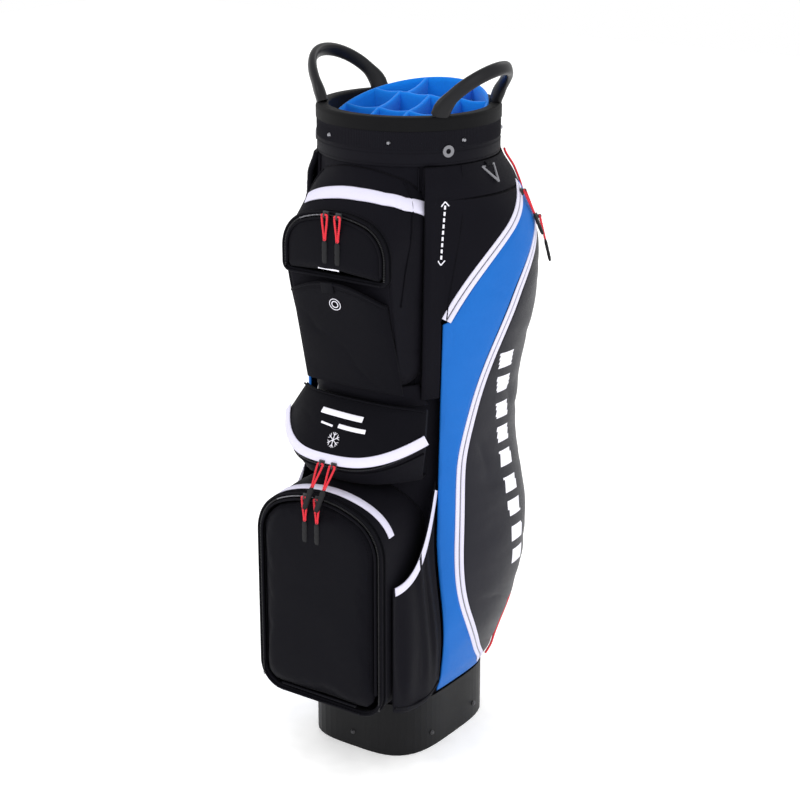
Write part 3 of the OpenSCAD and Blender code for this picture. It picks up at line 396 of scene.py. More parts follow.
@dataclass
class Piece:
    """Faces gathered for one object; each part keeps its own finish."""

    name: str
    points: list[Array] = field(default_factory=list)
    faces: list[tuple[int, ...]] = field(default_factory=list)
    marks: list[int] = field(default_factory=list)
    finishes: list[Finish] = field(default_factory=list)
    count: int = 0

    def _add(self, points: Array, faces: Sequence[Sequence[int]], finish: Finish) -> None:
        """Take in points and the faces that join them."""
        if finish not in self.finishes:
            self.finishes.append(finish)
        mark = self.finishes.index(finish)
        self.points.append(points.reshape(-1, 3))
        self.faces += [tuple(int(i) + self.count for i in f) for f in faces]
        self.marks += [mark] * len(faces)
        self.count += len(points.reshape(-1, 3))

    def grid(self, p: Array, finish: Finish, round_u: bool = False, round_v: bool = False) -> "Piece":
        """Add a grid of points as a sheet.

        Args:
            p: Points of shape (m, n, 3), in millimetres.
            finish: The sheet's finish.
            round_u: Join the last row to the first.
            round_v: Join the last column to the first.

        Returns:
            The piece itself.
        """
        m, n = p.shape[:2]
        rows = [(i, (i + 1) % m) for i in range(m if round_u else m - 1)]
        cols = [(j, (j + 1) % n) for j in range(n if round_v else n - 1)]
        self._add(p, [(a * n + c, b * n + c, b * n + d, a * n + d) for a, b in rows for c, d in cols], finish)
        return self

    def slab(self, outer: Array, inner: Array, finish: Finish) -> "Piece":
        """Add a closed sheet between two grids of the same shape."""
        m, n = outer.shape[:2]
        k = m * n
        corners = [i * n + j for i in range(m - 1) for j in range(n - 1)]
        faces = [(c, c + n, c + n + 1, c + 1) for c in corners]
        faces += [tuple(k + q for q in reversed(f)) for f in faces]
        edge = ([(i, 0) for i in range(m - 1)] + [(m - 1, j) for j in range(n - 1)]
                + [(i, n - 1) for i in range(m - 1, 0, -1)] + [(0, j) for j in range(n - 1, 0, -1)])
        ids = [i * n + j for i, j in edge]
        faces += [(b, a, a + k, b + k) for a, b in zip(ids, ids[1:] + ids[:1])]
        self._add(np.concatenate([outer.reshape(-1, 3), inner.reshape(-1, 3)]), faces, finish)
        return self

    def tube(self, path: Array, radius: float | Array, finish: Finish, sides: int = 8, closed: bool = False,
             flat: float = 1.0) -> "Piece":
        """Add a round cord along a path.

        Args:
            path: Points of shape (n, 3), in millimetres.
            radius: One radius, or one for each point.
            finish: The cord's finish.
            sides: Faces around it.
            closed: Join its end to its start.
            flat: Thickness along the second axis as a share of the radius.

        Returns:
            The piece itself.
        """
        n = len(path)
        along = np.roll(path, -1, 0) - np.roll(path, 1, 0) if closed else np.gradient(path, axis=0)
        along /= np.maximum(np.linalg.norm(along, axis=1, keepdims=True), 1e-9)
        up = np.cross(along[0], [0.31, 0.17, 0.93])
        up /= np.linalg.norm(up)
        rings, r = [], np.broadcast_to(np.asarray(radius, float), (n,))
        for i in range(n):
            up = up - along[i] * np.dot(up, along[i])
            up /= np.linalg.norm(up)
            other = np.cross(along[i], up)
            turn = np.linspace(0, 2 * math.pi, sides, endpoint=False)[:, None]
            rings.append(path[i] + r[i] * (np.cos(turn) * up + flat * np.sin(turn) * other))
        p = np.array(rings)
        self.grid(p, finish, round_u=closed, round_v=True)
        if not closed:
            base = self.count - n * sides
            self.cap(base, self.count - sides, sides, finish)
        return self

    def cap(self, first: int, last: int, n: int, finish: Finish) -> None:
        """Close a sleeve's two ends, each a ring of n points that starts at the given point."""
        self.faces += [tuple(first + i for i in reversed(range(n))), tuple(last + i for i in range(n))]
        self.marks += [self.finishes.index(finish)] * 2

    def done(self, body: str, replaces: Sequence[str] = ()) -> bpy.types.Object:
        """Make the object, dress it and let it ride.

        Args:
            body: The body it rides on.
            replaces: CAD nodes it stands for.

        Returns:
            The object.
        """
        mesh = bpy.data.meshes.new(self.name)
        mesh.from_pydata((np.concatenate(self.points) * MM).tolist(), [], self.faces)
        for f in self.finishes:
            mesh.materials.append(f.material())
        mesh.polygons.foreach_set("material_index", self.marks)
        mesh.polygons.foreach_set("use_smooth", [True] * len(self.faces))
        mesh.validate()
        mesh.update()
        obj = bpy.data.objects.new(self.name, mesh)
        bpy.context.scene.collection.objects.link(obj)
        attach(obj, body)
        if replaces:
            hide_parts(*replaces)
        LOG.info("%s: %d faces, rides on %s", self.name, len(self.faces), body)
        return obj


def resample(path: Array, n: int) -> Array:
    """Spread n points evenly along a path.

    Args:
        path: Points of any dimension.
        n: How many points.

    Returns:
        The evenly spaced points.
    """
    step = np.linalg.norm(np.diff(path, axis=0), axis=1)
    run = np.concatenate([[0], np.cumsum(step)])
    want = np.linspace(0, run[-1], n)
    return np.stack([np.interp(want, run, path[:, k]) for k in range(path.shape[1])], -1)


def arc(cx: float, cz: float, r: float, a0: float, a1: float, n: int) -> Array:
    """Points on an arc in the X-Z plane, angles in degrees."""
    a = np.radians(np.linspace(a0, a1, n))
    return np.stack([cx + r * np.cos(a), cz + r * np.sin(a)], -1)


@dataclass(frozen=True)
class Arch:
    """A door's outline in the X-Z plane: straight sides, rounded shoulders and a low crown."""

    half: float
    low: float
    top: float
    shoulder: float
    foot: float
    crown: float = 150.0

    def over(self, g: float = 0.0, n: int = 97) -> Array:
        """The open line from the bottom right, over the crown, to the bottom left, g outside the door."""
        c, sh = self.top - self.crown, self.shoulder
        sz = c + math.sqrt((self.crown - sh) ** 2 - (self.half - sh) ** 2)
        a = math.degrees(math.atan2(sz - c, self.half - sh))
        right = np.concatenate([[[self.half + g, self.low]], arc(self.half - sh, sz, sh + g, 0, a, 12)])
        line = np.concatenate([right, arc(0, c, self.crown + g, a, 180 - a, 30)[1:-1], right[::-1] * [-1, 1]])
        return resample(line, n)

    def round(self, g: float = 0.0, n: int = 144) -> Array:
        """The closed outline, g outside the door, without a repeated end."""
        foot = arc(-self.half + self.foot, self.low + self.foot, self.foot + g, 180, 270, 8)
        other = arc(self.half - self.foot, self.low + self.foot, self.foot + g, 270, 360, 8)
        top = self.over(g, 121)
        top = top[(top[:, 1] > self.low + self.foot)]
        line = np.concatenate([other, top, foot])
        return resample(np.concatenate([line, line[:1]]), n + 1)[:-1]


FORM = BagForm()
BALL = Arch(95, 105, 391, 55, 30)
UPPER = Arch(76, 684, 758, 42, 5)
BALL_FACE, UPPER_FACE = -189.6, -149.0

STITCH = (2.6, 0.6, 0.35)
SHORT_STITCH = (2.4, 0.6, 0.35)

Place = Callable[[Array, Array, "Array | float"], Array]


def points(x: Array | float, y: Array | float, z: Array | float) -> Array:
    """Points from three values that are spread over each other."""
    return np.stack(np.broadcast_arrays(x, y, z), -1)


def unit(v: Array) -> Array:
    """Each vector at length one."""
    return v / np.maximum(np.linalg.norm(v, axis=-1, keepdims=True), 1e-9)


@dataclass(frozen=True)
class Run:
    """An evenly spaced line that follows a surface."""

    place: Place
    uv: Array

    @classmethod
    def through(cls, place: Place, knots: Sequence[Sequence[float]], step: float = 3.0) -> "Run":
        """Follow a surface through a few places.

        Args:
            place: The surface: its two running values and the lift give points.
            knots: Values to pass through.
            step: Distance between points, in millimetres.

        Returns:
            The line.
        """
        k = np.asarray(knots, float)
        t = np.linspace(0, len(k) - 1, 60 * len(k))
        fine = np.stack([np.interp(t, np.arange(len(k)), k[:, c]) for c in (0, 1)], -1)
        p = place(fine[:, 0], fine[:, 1], 0.0)
        run = np.concatenate([[0], np.cumsum(np.linalg.norm(np.diff(p, axis=0), axis=1))])
        want = np.linspace(0, run[-1], max(3, int(round(run[-1] / step)) + 1))
        return cls(place, np.stack([np.interp(want, run, fine[:, c]) for c in (0, 1)], -1))

    def frames(self, lift: float) -> tuple[Array, Array, Array, Array]:
        """Points lifted off the surface, with the ways across, out and along."""
        u, v = self.uv[:, 0], self.uv[:, 1]
        e = 1e-3
        p = self.place(u, v, 0.0)
        lifted = self.place(u, v, 1.0) - p
        out = unit(np.cross(self.place(u + e, v, 0.0) - self.place(u - e, v, 0.0),
                            self.place(u, v + e, 0.0) - self.place(u, v - e, 0.0)))
        out = out * np.where(np.sum(out * lifted, -1, keepdims=True) < 0, -1.0, 1.0)
        p = p + out * lift
        along = unit(np.gradient(p, axis=0))
        across = unit(np.cross(along, out))
        return p, across, out, along

    def ribbon(self, piece: "Piece", width: float, thick: float, finish: Finish, lift: float = 0.2,
               shift: float = 0.0) -> "Run":
        """Lay a flat strip along the line, width wide and shift to one side."""
        p, across, out, _ = self.frames(lift)
        p = p + across * shift
        w = width / 2
        rows = [p - across * w, p - across * w * 0.84 + out * thick, p + across * w * 0.84 + out * thick,
                p + across * w, p - out * 0.3]
        piece.grid(np.stack(rows, 1), finish, round_v=True)
        return self

    def piping(self, piece: "Piece", radius: float, finish: Finish, lift: float = 0.6, shift: float = 0.0) -> "Run":
        """Lay a round cord along the line."""
        p, across, _, _ = self.frames(lift)
        piece.tube(p + across * shift, radius, finish)
        return self

    def blocks(self, piece: "Piece", every: float, size: Sequence[float], finish: Finish, lift: float = 0.2,
               shift: float = 0.0) -> "Run":
        """Set small blocks along the line, as stitches or teeth.

        Args:
            piece: The piece to add to.
            every: Distance between blocks, in millimetres.
            size: Length along, width across and height, in millimetres.
            finish: Their finish.
            lift: Distance off the surface.
            shift: Distance to one side.

        Returns:
            The line itself.
        """
        p, across, out, along = self.frames(lift)
        p = p + across * shift
        run = np.concatenate([[0], np.cumsum(np.linalg.norm(np.diff(p, axis=0), axis=1))])
        want = np.arange(every / 2, run[-1], every)
        pick = lambda q: np.stack([np.interp(want, run, q[:, c]) for c in range(3)], -1)
        c, n = pick(p), unit(pick(out)) * size[2]
        x, y = unit(pick(along)) * size[0] / 2, unit(pick(across)) * size[1] / 2
        low = [c - x - y, c + x - y, c + x + y, c - x + y]
        top = [c + (q - c) * 0.72 + n for q in low]
        pts = np.stack(low + top, 1)
        k = len(want)
        quads = [(0, 3, 2, 1), (4, 5, 6, 7), (0, 1, 5, 4), (1, 2, 6, 5), (2, 3, 7, 6), (3, 0, 4, 7)]
        piece._add(pts, [tuple(8 * i + q for q in f) for i in range(k) for f in quads], finish)
        return self


def sided(p: Array, side: Side) -> Array:
    """Right-hand points put on the given side, their outside kept outwards."""
    return p if side is Side.RIGHT else p[::-1] * np.array([-1.0, 1.0, 1.0])


def puff(obj: bpy.types.Object, pressure: float = 4.0, cap: float = 8.0, voxel: float = 5.0) -> None:
    """Fill a closed cloth cover by a short cloth simulation and keep what it settles to.

    Args:
        obj: The cover, a closed mesh.
        pressure: Air pressure in it.
        cap: Furthest that any place may move, in millimetres.
        voxel: Size of the cloth's squares, in millimetres.
    """
    scene = bpy.context.scene
    remesh = obj.modifiers.new("cloth_grid", "REMESH")
    remesh.mode, remesh.voxel_size, remesh.use_smooth_shade = "VOXEL", voxel * MM, True
    keep = list(obj.data.materials)
    graph = bpy.context.evaluated_depsgraph_get()
    obj.data = bpy.data.meshes.new_from_object(obj.evaluated_get(graph))
    obj.modifiers.clear()
    obj.data.materials.clear()
    for m in keep:
        obj.data.materials.append(m)
    rest = np.zeros(len(obj.data.vertices) * 3)
    obj.data.vertices.foreach_get("co", rest)
    cloth = obj.modifiers.new("cloth", "CLOTH")
    s = cloth.settings
    s.use_pressure, s.uniform_pressure_force, s.quality = True, pressure, 6
    s.mass, s.tension_stiffness, s.compression_stiffness, s.bending_stiffness = 0.25, 18, 6, 0.4
    s.effector_weights.gravity = 0.0
    cloth.collision_settings.use_collision = False
    cloth.point_cache.frame_start, cloth.point_cache.frame_end = 1, 20
    for f in range(1, 21):
        scene.frame_set(f)
        graph = bpy.context.evaluated_depsgraph_get()
    moved = np.zeros(len(rest))
    obj.evaluated_get(graph).data.vertices.foreach_get("co", moved)
    scene.frame_set(1)
    step = (moved - rest).reshape(-1, 3)
    far = np.linalg.norm(step, axis=1, keepdims=True)
    step *= np.minimum(1.0, cap * MM / np.maximum(far, 1e-9))
    obj.modifiers.clear()
    obj.data.vertices.foreach_set("co", (rest.reshape(-1, 3) + np.nan_to_num(step)).ravel())
    obj.data.polygons.foreach_set("use_smooth", [True] * len(obj.data.polygons))
    obj.data.update()
    sub = obj.modifiers.new("smooth", "SUBSURF")
    sub.levels = sub.render_levels = 1


class Hardware:
    """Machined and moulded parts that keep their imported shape, with rounded edges and a finish."""

    KEPT: dict[str, tuple[Finish, float]] = {
        "top_rim": (Finish.RIM, 0.8),
        "base_cup": (Finish.CUP, 1.0), "base_rivets": (Finish.BLACK_METAL, 0.5), "base_pad": (Finish.RUBBER, 1.0),
        "collar_screws": (Finish.STEEL, 0.4), "collar_eyelets": (Finish.GUNMETAL, 0.3), "d_ring_left": (Finish.GUNMETAL, 0.0),
        "d_ring_right": (Finish.GUNMETAL, 0.0), "umbrella_ring": (Finish.CUP, 1.2), "stay_rods": (Finish.STAY, 0.0),
        "range_magnets": (Finish.STEEL, 0.3)}

    def build(self) -> None:
        """Give each kept part its finish and soft edges."""
        kept = dict(self.KEPT)
        for zip_name in ("ball", "upper", "cooler", "apparel", "valuables"):
            for side in Side:
                kept[f"{zip_name}_slider_{side.word}"] = (Finish.BLACK_METAL, 0.35)
        for name, (finish, edge) in kept.items():
            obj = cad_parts[name]
            obj.data.materials.clear()
            obj.data.materials.append(finish.material())
            if edge:
                cut = obj.modifiers.new("soft_edges", "BEVEL")
                cut.width, cut.segments, cut.limit_method, cut.angle_limit = edge * MM, 2, "ANGLE", math.radians(40)
                obj.modifiers.new("shade", "WEIGHTED_NORMAL")


@dataclass(frozen=True)
class Handles:
    """The two moulded loops on the rim, in millimetres."""

    spread: float = 35.0
    foot_r: float = 112.0
    reach: float = 27.0
    foot_z: float = 879.5
    rise: float = 55.0
    half_width: float = 8.8
    half_thick: float = 5.6
    flare: float = 0.35

    def build(self) -> None:
        """Build each loop thick at the crown and flared at its feet."""
        for side in Side:
            t = np.linspace(0, 1, 64)
            arch = np.sin(math.pi * t)
            a = np.radians(lerp(-self.spread, self.spread, t))
            r = self.foot_r + self.reach * arch**0.8
            z = self.foot_z + self.rise * arch**0.62
            path = np.stack([r * np.cos(a), FORM.collar_back + r * np.sin(a), z], -1)
            along = unit(np.gradient(path, axis=0))
            away = unit(np.stack([np.cos(a), np.sin(a), 0.35 + 0 * a], -1))
            across = unit(np.cross(along, away))
            away = np.cross(across, along)
            turn = np.linspace(0, 2 * math.pi, 20, endpoint=False)
            flare = 1 + self.flare * (2 - smooth(t / 0.1) - smooth((1 - t) / 0.1))
            wide, thick = ((h * flare)[:, None, None] for h in (self.half_width, self.half_thick))
            sq = lambda v: np.sign(v) * np.abs(v) ** 0.75
            p = path[:, None] + across[:, None] * wide * sq(np.cos(turn))[None, :, None]
            p = p + away[:, None] * thick * sq(np.sin(turn))[None, :, None]
            piece = Piece(f"grip_{side.word}").grid(sided(p, side), Finish.GRIP, round_v=True)
            piece.done("bag", [f"handle_{side.word}"])


class BodyShell:
    """The cloth body between the base cup and the rim."""

    def build(self) -> None:
        """Build the shell as one closed sleeve."""
        a = np.linspace(-180, 180, 264, endpoint=False)[:, None]
        z = np.linspace(6, 860, 172)[None, :]
        p = FORM.skin(a, z, 0.0)
        shown = smooth((z - 90) / 20) * smooth((812 - z) / 20)
        outer = FORM.skin(a, z, -0.2 + shown * (0.7 * ripple(p, 70, 1.0) - 0.9 * crease(p, 22, 2.0)))
        inner = FORM.skin(a, z, -3.6)
        piece = Piece("body_cover").grid(np.concatenate([outer, inner[:, ::-1]], 1), Finish.BODY, round_u=True, round_v=True)
        piece.done("bag", ["body_shell"])
        trim = Piece("body_seams")
        for side in Side:
            place = self._place(side)
            for edge in (80.0, 101.0):
                Run.through(place, [(edge, 92), (edge, 812)], 4).piping(trim, 1.3, Finish.BODY, 0.5)
                Run.through(place, [(edge - 3, 92), (edge - 3, 812)], 3).blocks(trim, 4.0, SHORT_STITCH, Finish.DOOR, 0.3)
            Run.through(place, [(-46, 512), (-46, 816)], 4).piping(trim, 1.4, Finish.BODY, 1.6)
            Run.through(place, [(-49, 512), (-49, 816)], 4).piping(trim, 1.1, Finish.BODY, 1.2)
            Run.through(place, [(-43, 560), (-37, 690), (-33, 817)], 4).piping(trim, 0.9, Finish.BODY, 3.0)
        trim.done("bag")

    @staticmethod
    def _place(side: Side) -> Place:
        """The skin of one side as a surface."""
        return lambda a, z, g: FORM.skin(a, z, g) * np.array([side.value, 1.0, 1.0])


class Collar:
    """The ribbed band under the rim, with its bound lower edge."""

    def build(self) -> None:
        """Build the band and its stitching."""
        n = 300
        a = np.radians(np.arange(n * 4) * 360 / (n * 4))[:, None]
        rib = 0.5 + 0.5 * np.cos(np.arange(n * 4) * math.pi / 2)[:, None]
        z = np.array([818.0, 818.6, 820, 826, 834, 838, 838.6, 839.2, 841, 848, 856, 861, 861.8, 862])[None, :]
        ribbed = smooth((z - 837.5) / 2.5) * smooth((862 - z) / 1.5)
        edge = np.minimum(1, smooth((z - 817.5) / 2.0))
        r = FORM.collar_r - 1.2 + 1.0 * edge + 0.75 * ribbed * (rib - 0.6) - 0.9 * (np.abs(z - 838.4) < 0.7)
        outer = np.stack([r * np.cos(a), FORM.collar_back + r * np.sin(a), z + 0 * r], -1)
        ri = np.full_like(r, FORM.top_r + 0.6)
        inner = np.stack([ri * np.cos(a), FORM.collar_back + ri * np.sin(a), z + 0 * r], -1)[:, ::-1]
        piece = Piece("collar_cover").grid(np.concatenate([outer, inner], 1), Finish.COLLAR, round_u=True, round_v=True)
        place: Place = lambda q, h, g: np.stack(
            [(FORM.collar_r + g) * np.cos(np.radians(q)), FORM.collar_back + (FORM.collar_r + g) * np.sin(np.radians(q)), h], -1)
        for h in (821.5, 834.5):
            Run.through(place, [(-180, h), (180, h)], 3).blocks(piece, 3.6, (2.3, 0.55, 0.3), Finish.DOOR, -0.2)
        piece.done("bag", ["collar_band"])


class Dividers:
    """Brushed cloth walls that part the top into fourteen wells."""

    ROWS = (-49.0, 0.0, 49.0)
    COLUMNS = (-48.0, 0.0, 48.0)
    ENDS = (-36.0, 36.0)
    RING_R = 103.4
    LOW_Z = 18.0

    def _wall(self, piece: Piece, p0: tuple[float, float], p1: tuple[float, float], posts: Sequence[float]) -> None:
        """Add one hanging wall.

        Args:
            piece: The piece to add to.
            p0: Where it starts in plan.
            p1: Where it ends.
            posts: Where others cross it, from 0 to 1.
        """
        q = np.linspace(0, 1, 40)
        x, y = lerp(p0[0], p1[0], q), lerp(p0[1], p1[1], q)
        marks = np.array(sorted({0.0, *posts, 1.0}))
        left = marks[np.clip(np.searchsorted(marks, q, "right") - 1, 0, len(marks) - 2)]
        right = marks[np.clip(np.searchsorted(marks, q, "right"), 1, len(marks) - 1)]
        span = (q - left) / np.maximum(right - left, 1e-6)
        reach = np.clip((right - left) * math.dist(p0, p1) / 50, 0.3, 1.2)
        sag = 2.6 * np.sin(math.pi * np.clip(span, 0, 1)) ** 1.2 * reach
        top = 867.4 + 0.29 * y - sag
        normal = unit(np.array([[-(p1[1] - p0[1]), p1[0] - p0[0], 0.0]]))[0]
        around, half = [], 2.7
        levels = np.array([852.0, 600.0, 330.0, 160.0, 60.0, 25.0, 10.0, 3.0])
        for sign in (1, -1):
            rows = []
            for lev in levels:
                z = np.maximum(self.LOW_Z, top - lev)
                lean = np.clip(lev / 850, 0, 1)
                shrink = 1 - 0.24 * smooth((lev - 30) / 700)
                centre = np.stack([x * shrink, FORM.collar_back + y * lerp(1, 0.97, lean) - 10 * lean, z], -1)
                t = np.where(lev < 25, half, 1.1)
                centre = centre + normal * sign * (t + 0.9 * np.sin(q[:, None] * 23 + lev * 0.05) * lean)
                rows.append(centre)
            rows = rows if sign > 0 else rows[::-1]
            around += rows
            if sign > 0:
                crest = np.stack([x, FORM.collar_back + y, top], -1)
                around += [crest + normal * half * 0.7 - [0, 0, 0.7], crest, crest - normal * half * 0.7 - [0, 0, 0.7]]
        piece.grid(np.stack(around, 1), Finish.BRUSHED, round_v=True)

    def build(self) -> None:
        """Build every wall and the lining ring."""
        piece = Piece("divider_walls")
        r = self.RING_R - 3
        for y in self.ROWS:
            reach = math.sqrt(r * r - y * y)
            xs = self.COLUMNS if y == 0 else self.COLUMNS + self.ENDS
            self._wall(piece, (-reach, y), (reach, y), [(x + reach) / (2 * reach) for x in xs])
        for x in self.COLUMNS:
            self._wall(piece, (x, -49), (x, 0), [])
            self._wall(piece, (x, 0), (x, 49), [])
        for x in self.ENDS:
            reach = math.sqrt(r * r - x * x)
            self._wall(piece, (x, 49), (x, reach), [])
            self._wall(piece, (x, -reach), (x, -49), [])
        a = np.radians(np.linspace(0, 360, 144, endpoint=False))[:, None]
        drop = np.array([[0.0, 0.6, 6, 40, 90, 90, 40, 6, 0.6]])
        rr = np.array([[self.RING_R - 2, self.RING_R, self.RING_R, self.RING_R, self.RING_R, self.RING_R - 2.6,
                        self.RING_R - 3, self.RING_R - 4.2, self.RING_R - 3.6]])
        y = rr * np.sin(a)
        ring = np.stack([rr * np.cos(a), FORM.collar_back + y, 867.0 + 0.29 * y - drop], -1)
        piece.grid(ring, Finish.BRUSHED, round_u=True, round_v=True)
        piece.done("bag", ["divider_frame", "divider_ring", "divider_sleeves"])


@dataclass(frozen=True)
class SideCover:
    """One side's sewn panels: coloured panel, clothing pocket, zip tapes and strap passage."""

    side: Side

    def place(self, a: Array, z: Array, g: Array | float) -> Array:
        """This side's surface."""
        return FORM.side(a, z, g) * np.array([self.side.value, 1.0, 1.0])

    def _sheet(self, piece: Piece, a0: Callable[[Array], Array], a1: Callable[[Array], Array], z0: float, z1: float,
               thick: float, finish: Finish, amp: float, seed: float, size: tuple[int, int] = (44, 150),
               extra: Callable[[Array, Array], Array] | None = None,
               paint: Callable[[Array, Array], Array] | None = None) -> None:
        """Add a creased sheet between two edges given as angles by height.

        Args:
            piece: The piece to add to.
            a0: Its front edge.
            a1: Its rear edge.
            z0: Its lowest height.
            z1: Its highest height.
            thick: How far it stands off at its edges.
            finish: Its finish.
            amp: Depth of its swells and creases.
            seed: Picks their pattern.
            size: Points across and up.
            extra: More stand-off by angle and height.
            paint: Which places carry print.
        """
        z = np.linspace(z0, z1, size[1])[None, :]
        s = np.linspace(0, 1, size[0])[:, None]
        a = lerp(a0(z), a1(z), s)
        p = FORM.side(a, z, 0.0)
        edge = np.minimum(1, 7 * np.minimum(s, 1 - s)) * np.minimum(1, 18 * np.minimum(z - z0, z1 - z) / (z1 - z0))
        puffed = thick + 1.6 * edge**0.6 + amp * edge * (ripple(p, 75, seed) - 1.1 * crease(p, 26, seed + 1)
                                                      + 0.35 * ripple(p, 22, seed + 2))
        if extra is not None:
            puffed = puffed + extra(a, z)
        outer, inner = FORM.side(a, z, puffed), FORM.side(a, z, 0.0)
        first = len(piece.faces)
        piece.slab(sided(outer, self.side), sided(inner, self.side), finish)
        if paint is not None:
            mask = paint(a + 0 * z, z + 0 * a)[:-1, :-1]
            mask = mask if self.side is Side.RIGHT else mask[::-1]
            piece.finishes.append(Finish.PRINT)
            for k in np.flatnonzero(mask.ravel()):
                piece.marks[first + int(k)] = len(piece.finishes) - 1

    def build(self, tapes: Piece) -> None:
        """Build this side's panels; its zip tapes go into the shared piece."""
        word, seed = self.side.word, 3.0 + self.side.value
        split = 616.0
        front = lambda z: np.where(z < split, FORM.panel_front(z), FORM.short_zip(z) + 3.1)
        rear = lambda z: np.minimum(78, FORM.long_zip(z)) - 3.1
        blue = Piece(f"side_panel_{word}")
        self._sheet(blue, front, lambda z: np.maximum(front(z) + 4, rear(z)), 83, 778, 2.2, Finish.BLUE, 1.5, seed)
        blue.done("bag", [f"panel_{word}"])

        pocket = Piece(f"clothing_pocket_{word}")
        self._sheet(pocket, lambda z: FORM.long_zip(z) + 3.1, lambda z: 78 + 0 * z, 92, 753, 2.2, Finish.APPAREL, 1.9,
                    seed + 4, (84, 210), paint=self._marks)
        self._red(pocket, 752, 93)
        pocket.done(f"apparel_pocket_{word}", [f"apparel_pocket_{word}"])

        passage = Piece(f"strap_passage_{word}")
        end = lambda z: np.where(z < split, FORM.panel_front(z) - 1, np.where(z < 778, FORM.short_zip(z) - 3.1, 78.0))
        self._sheet(passage, lambda z: -46 + 0 * z, end, 516, 817, 2.0, Finish.BODY, 0.9, seed + 8, (60, 110),
                    lambda a, z: 4 * np.clip((-34 - a) / 8, 0, 1) * smooth((z - 516) / 60))
        self._sheet(passage, lambda z: FORM.long_zip(753 + 0 * z) - 3.1, lambda z: 78 + 0 * z, 755, 780, 2.0, Finish.BODY, 0.3,
                    seed + 9, (50, 12))
        self._arrow(passage)
        Run.through(self.place, [(-22, 816), (-25, 748), (-31, 650), (-32, 622)], 3).piping(passage, 1.1, Finish.DOOR, 2.6)
        self._red(passage, 817, 755)
        passage.done("bag", [f"pass_through_{word}"])
        self._stretch()

        width = 6.4
        for z0, z1, path in ((92, 753, FORM.long_zip), (620, 778, FORM.short_zip)):
            z = np.linspace(z0, z1, 90)
            line = Run.through(self.place, np.stack([path(z), z], -1), 3)
            line.ribbon(tapes, width, 0.9, Finish.TAPE, 2.4, -width / 2 - 0.5)
            line.ribbon(tapes, width, 0.9, Finish.TAPE, 2.4, width / 2 + 0.5)
            line.blocks(tapes, 1.9, (1.0, 2.4, 0.9), Finish.TEETH, 2.3)
            for e in (-1, 1):
                line.blocks(tapes, 4.2, (2.6, 0.5, 0.25), Finish.PRINT, 3.25, e * (width - 1.2))

    def _red(self, piece: Piece, z_top: float, z_low: float) -> None:
        """Add the stretch of red piping between two heights."""
        z = np.linspace(z_top, z_low, 60)
        a = np.interp(z, [50, 100, 300, 500, 700, 780, 818], [41, 42, 44, 54, 54, 40, 36])
        Run.through(self.place, np.stack([a, z], -1), 4).piping(piece, 1.6, Finish.RED, 5.6)

    @staticmethod
    def _marks(a: Array, z: Array) -> Array:
        """Where a row of equal plain bars is printed on the pocket."""
        low, high, pitch, bar, half = 252, 571, 36, 22, 5
        off = a - np.interp(z, [low, high], [22, 6])
        return (z > low) & (z < high) & (np.mod(z - low, pitch) < bar) & (np.abs(off) < half)

    def _arrow(self, piece: Piece) -> None:
        """Print a plain double arrow on the strap passage."""
        lift = 6.2
        Run.through(self.place, [(-36.0, 700), (-34.5, 768)], 2).blocks(piece, 8.0, (5.2, 2.6, 0.2), Finish.PRINT, lift)
        for z, d in ((775, -6), (694, 6)):
            a = float(np.interp(z, [700, 768], [-36.0, -34.5]))
            for s in (-2.2, 2.2):
                Run.through(self.place, [(a, z), (a + s, z + d)], 1.5).ribbon(piece, 1.5, 0.2, Finish.PRINT, lift)

    def _stretch(self) -> None:
        """Build the pleated stretch pocket and its pale hem."""
        q, v = np.linspace(0, 1, 56)[:, None], np.linspace(0, 1, 60)[None, :]

        def at(q: Array, v: Array, g: Array | float) -> Array:
            z = lerp(90.0 + 16 * np.clip(1 - q, 0, 1) ** 3, lerp(285.2, 403.6, q * q), v)
            start = points(104.0, -165.6, z)
            p = lerp(start, FORM.side(FORM.panel_front(z) - 2, z, 0.0), q[..., None] if q.ndim == z.ndim else q)
            out = points(g + 9 * np.sin(math.pi * q), -0.4 * g, 0 * z)
            return p + out

        q, v = np.broadcast_arrays(q, v)
        pleat = 2.1 * np.sin(q * 24 + 3.0 * v + 1.4 * np.sin(q * 7 + 2 * v)) * smooth(v / 0.3)
        pleat = pleat + 1.1 * np.sin(q * 11 - 4.0 * v)
        piece = Piece(f"stretch_pocket_cover_{self.side.word}")
        fade = smooth(q / 0.06) * smooth((1 - q) / 0.06)
        piece.slab(sided(at(q, v, 1.8 + pleat * fade * 0.8), self.side), sided(at(q, v, 0.0), self.side), Finish.STRETCH)
        place: Place = lambda a, b, g: at(np.asarray(a), np.asarray(b), g) * np.array([self.side.value, 1.0, 1.0])
        Run.through(place, [(0.02, 0.968), (0.5, 0.968), (0.98, 0.968)], 3).ribbon(piece, 12.5, 1.0, Finish.TAPE, 2.8)
        Run.through(place, [(0.02, 0.04), (0.98, 0.04)], 3).piping(piece, 1.6, Finish.DOOR, 2.2)
        piece.done("bag", [f"stretch_pocket_{self.side.word}"])


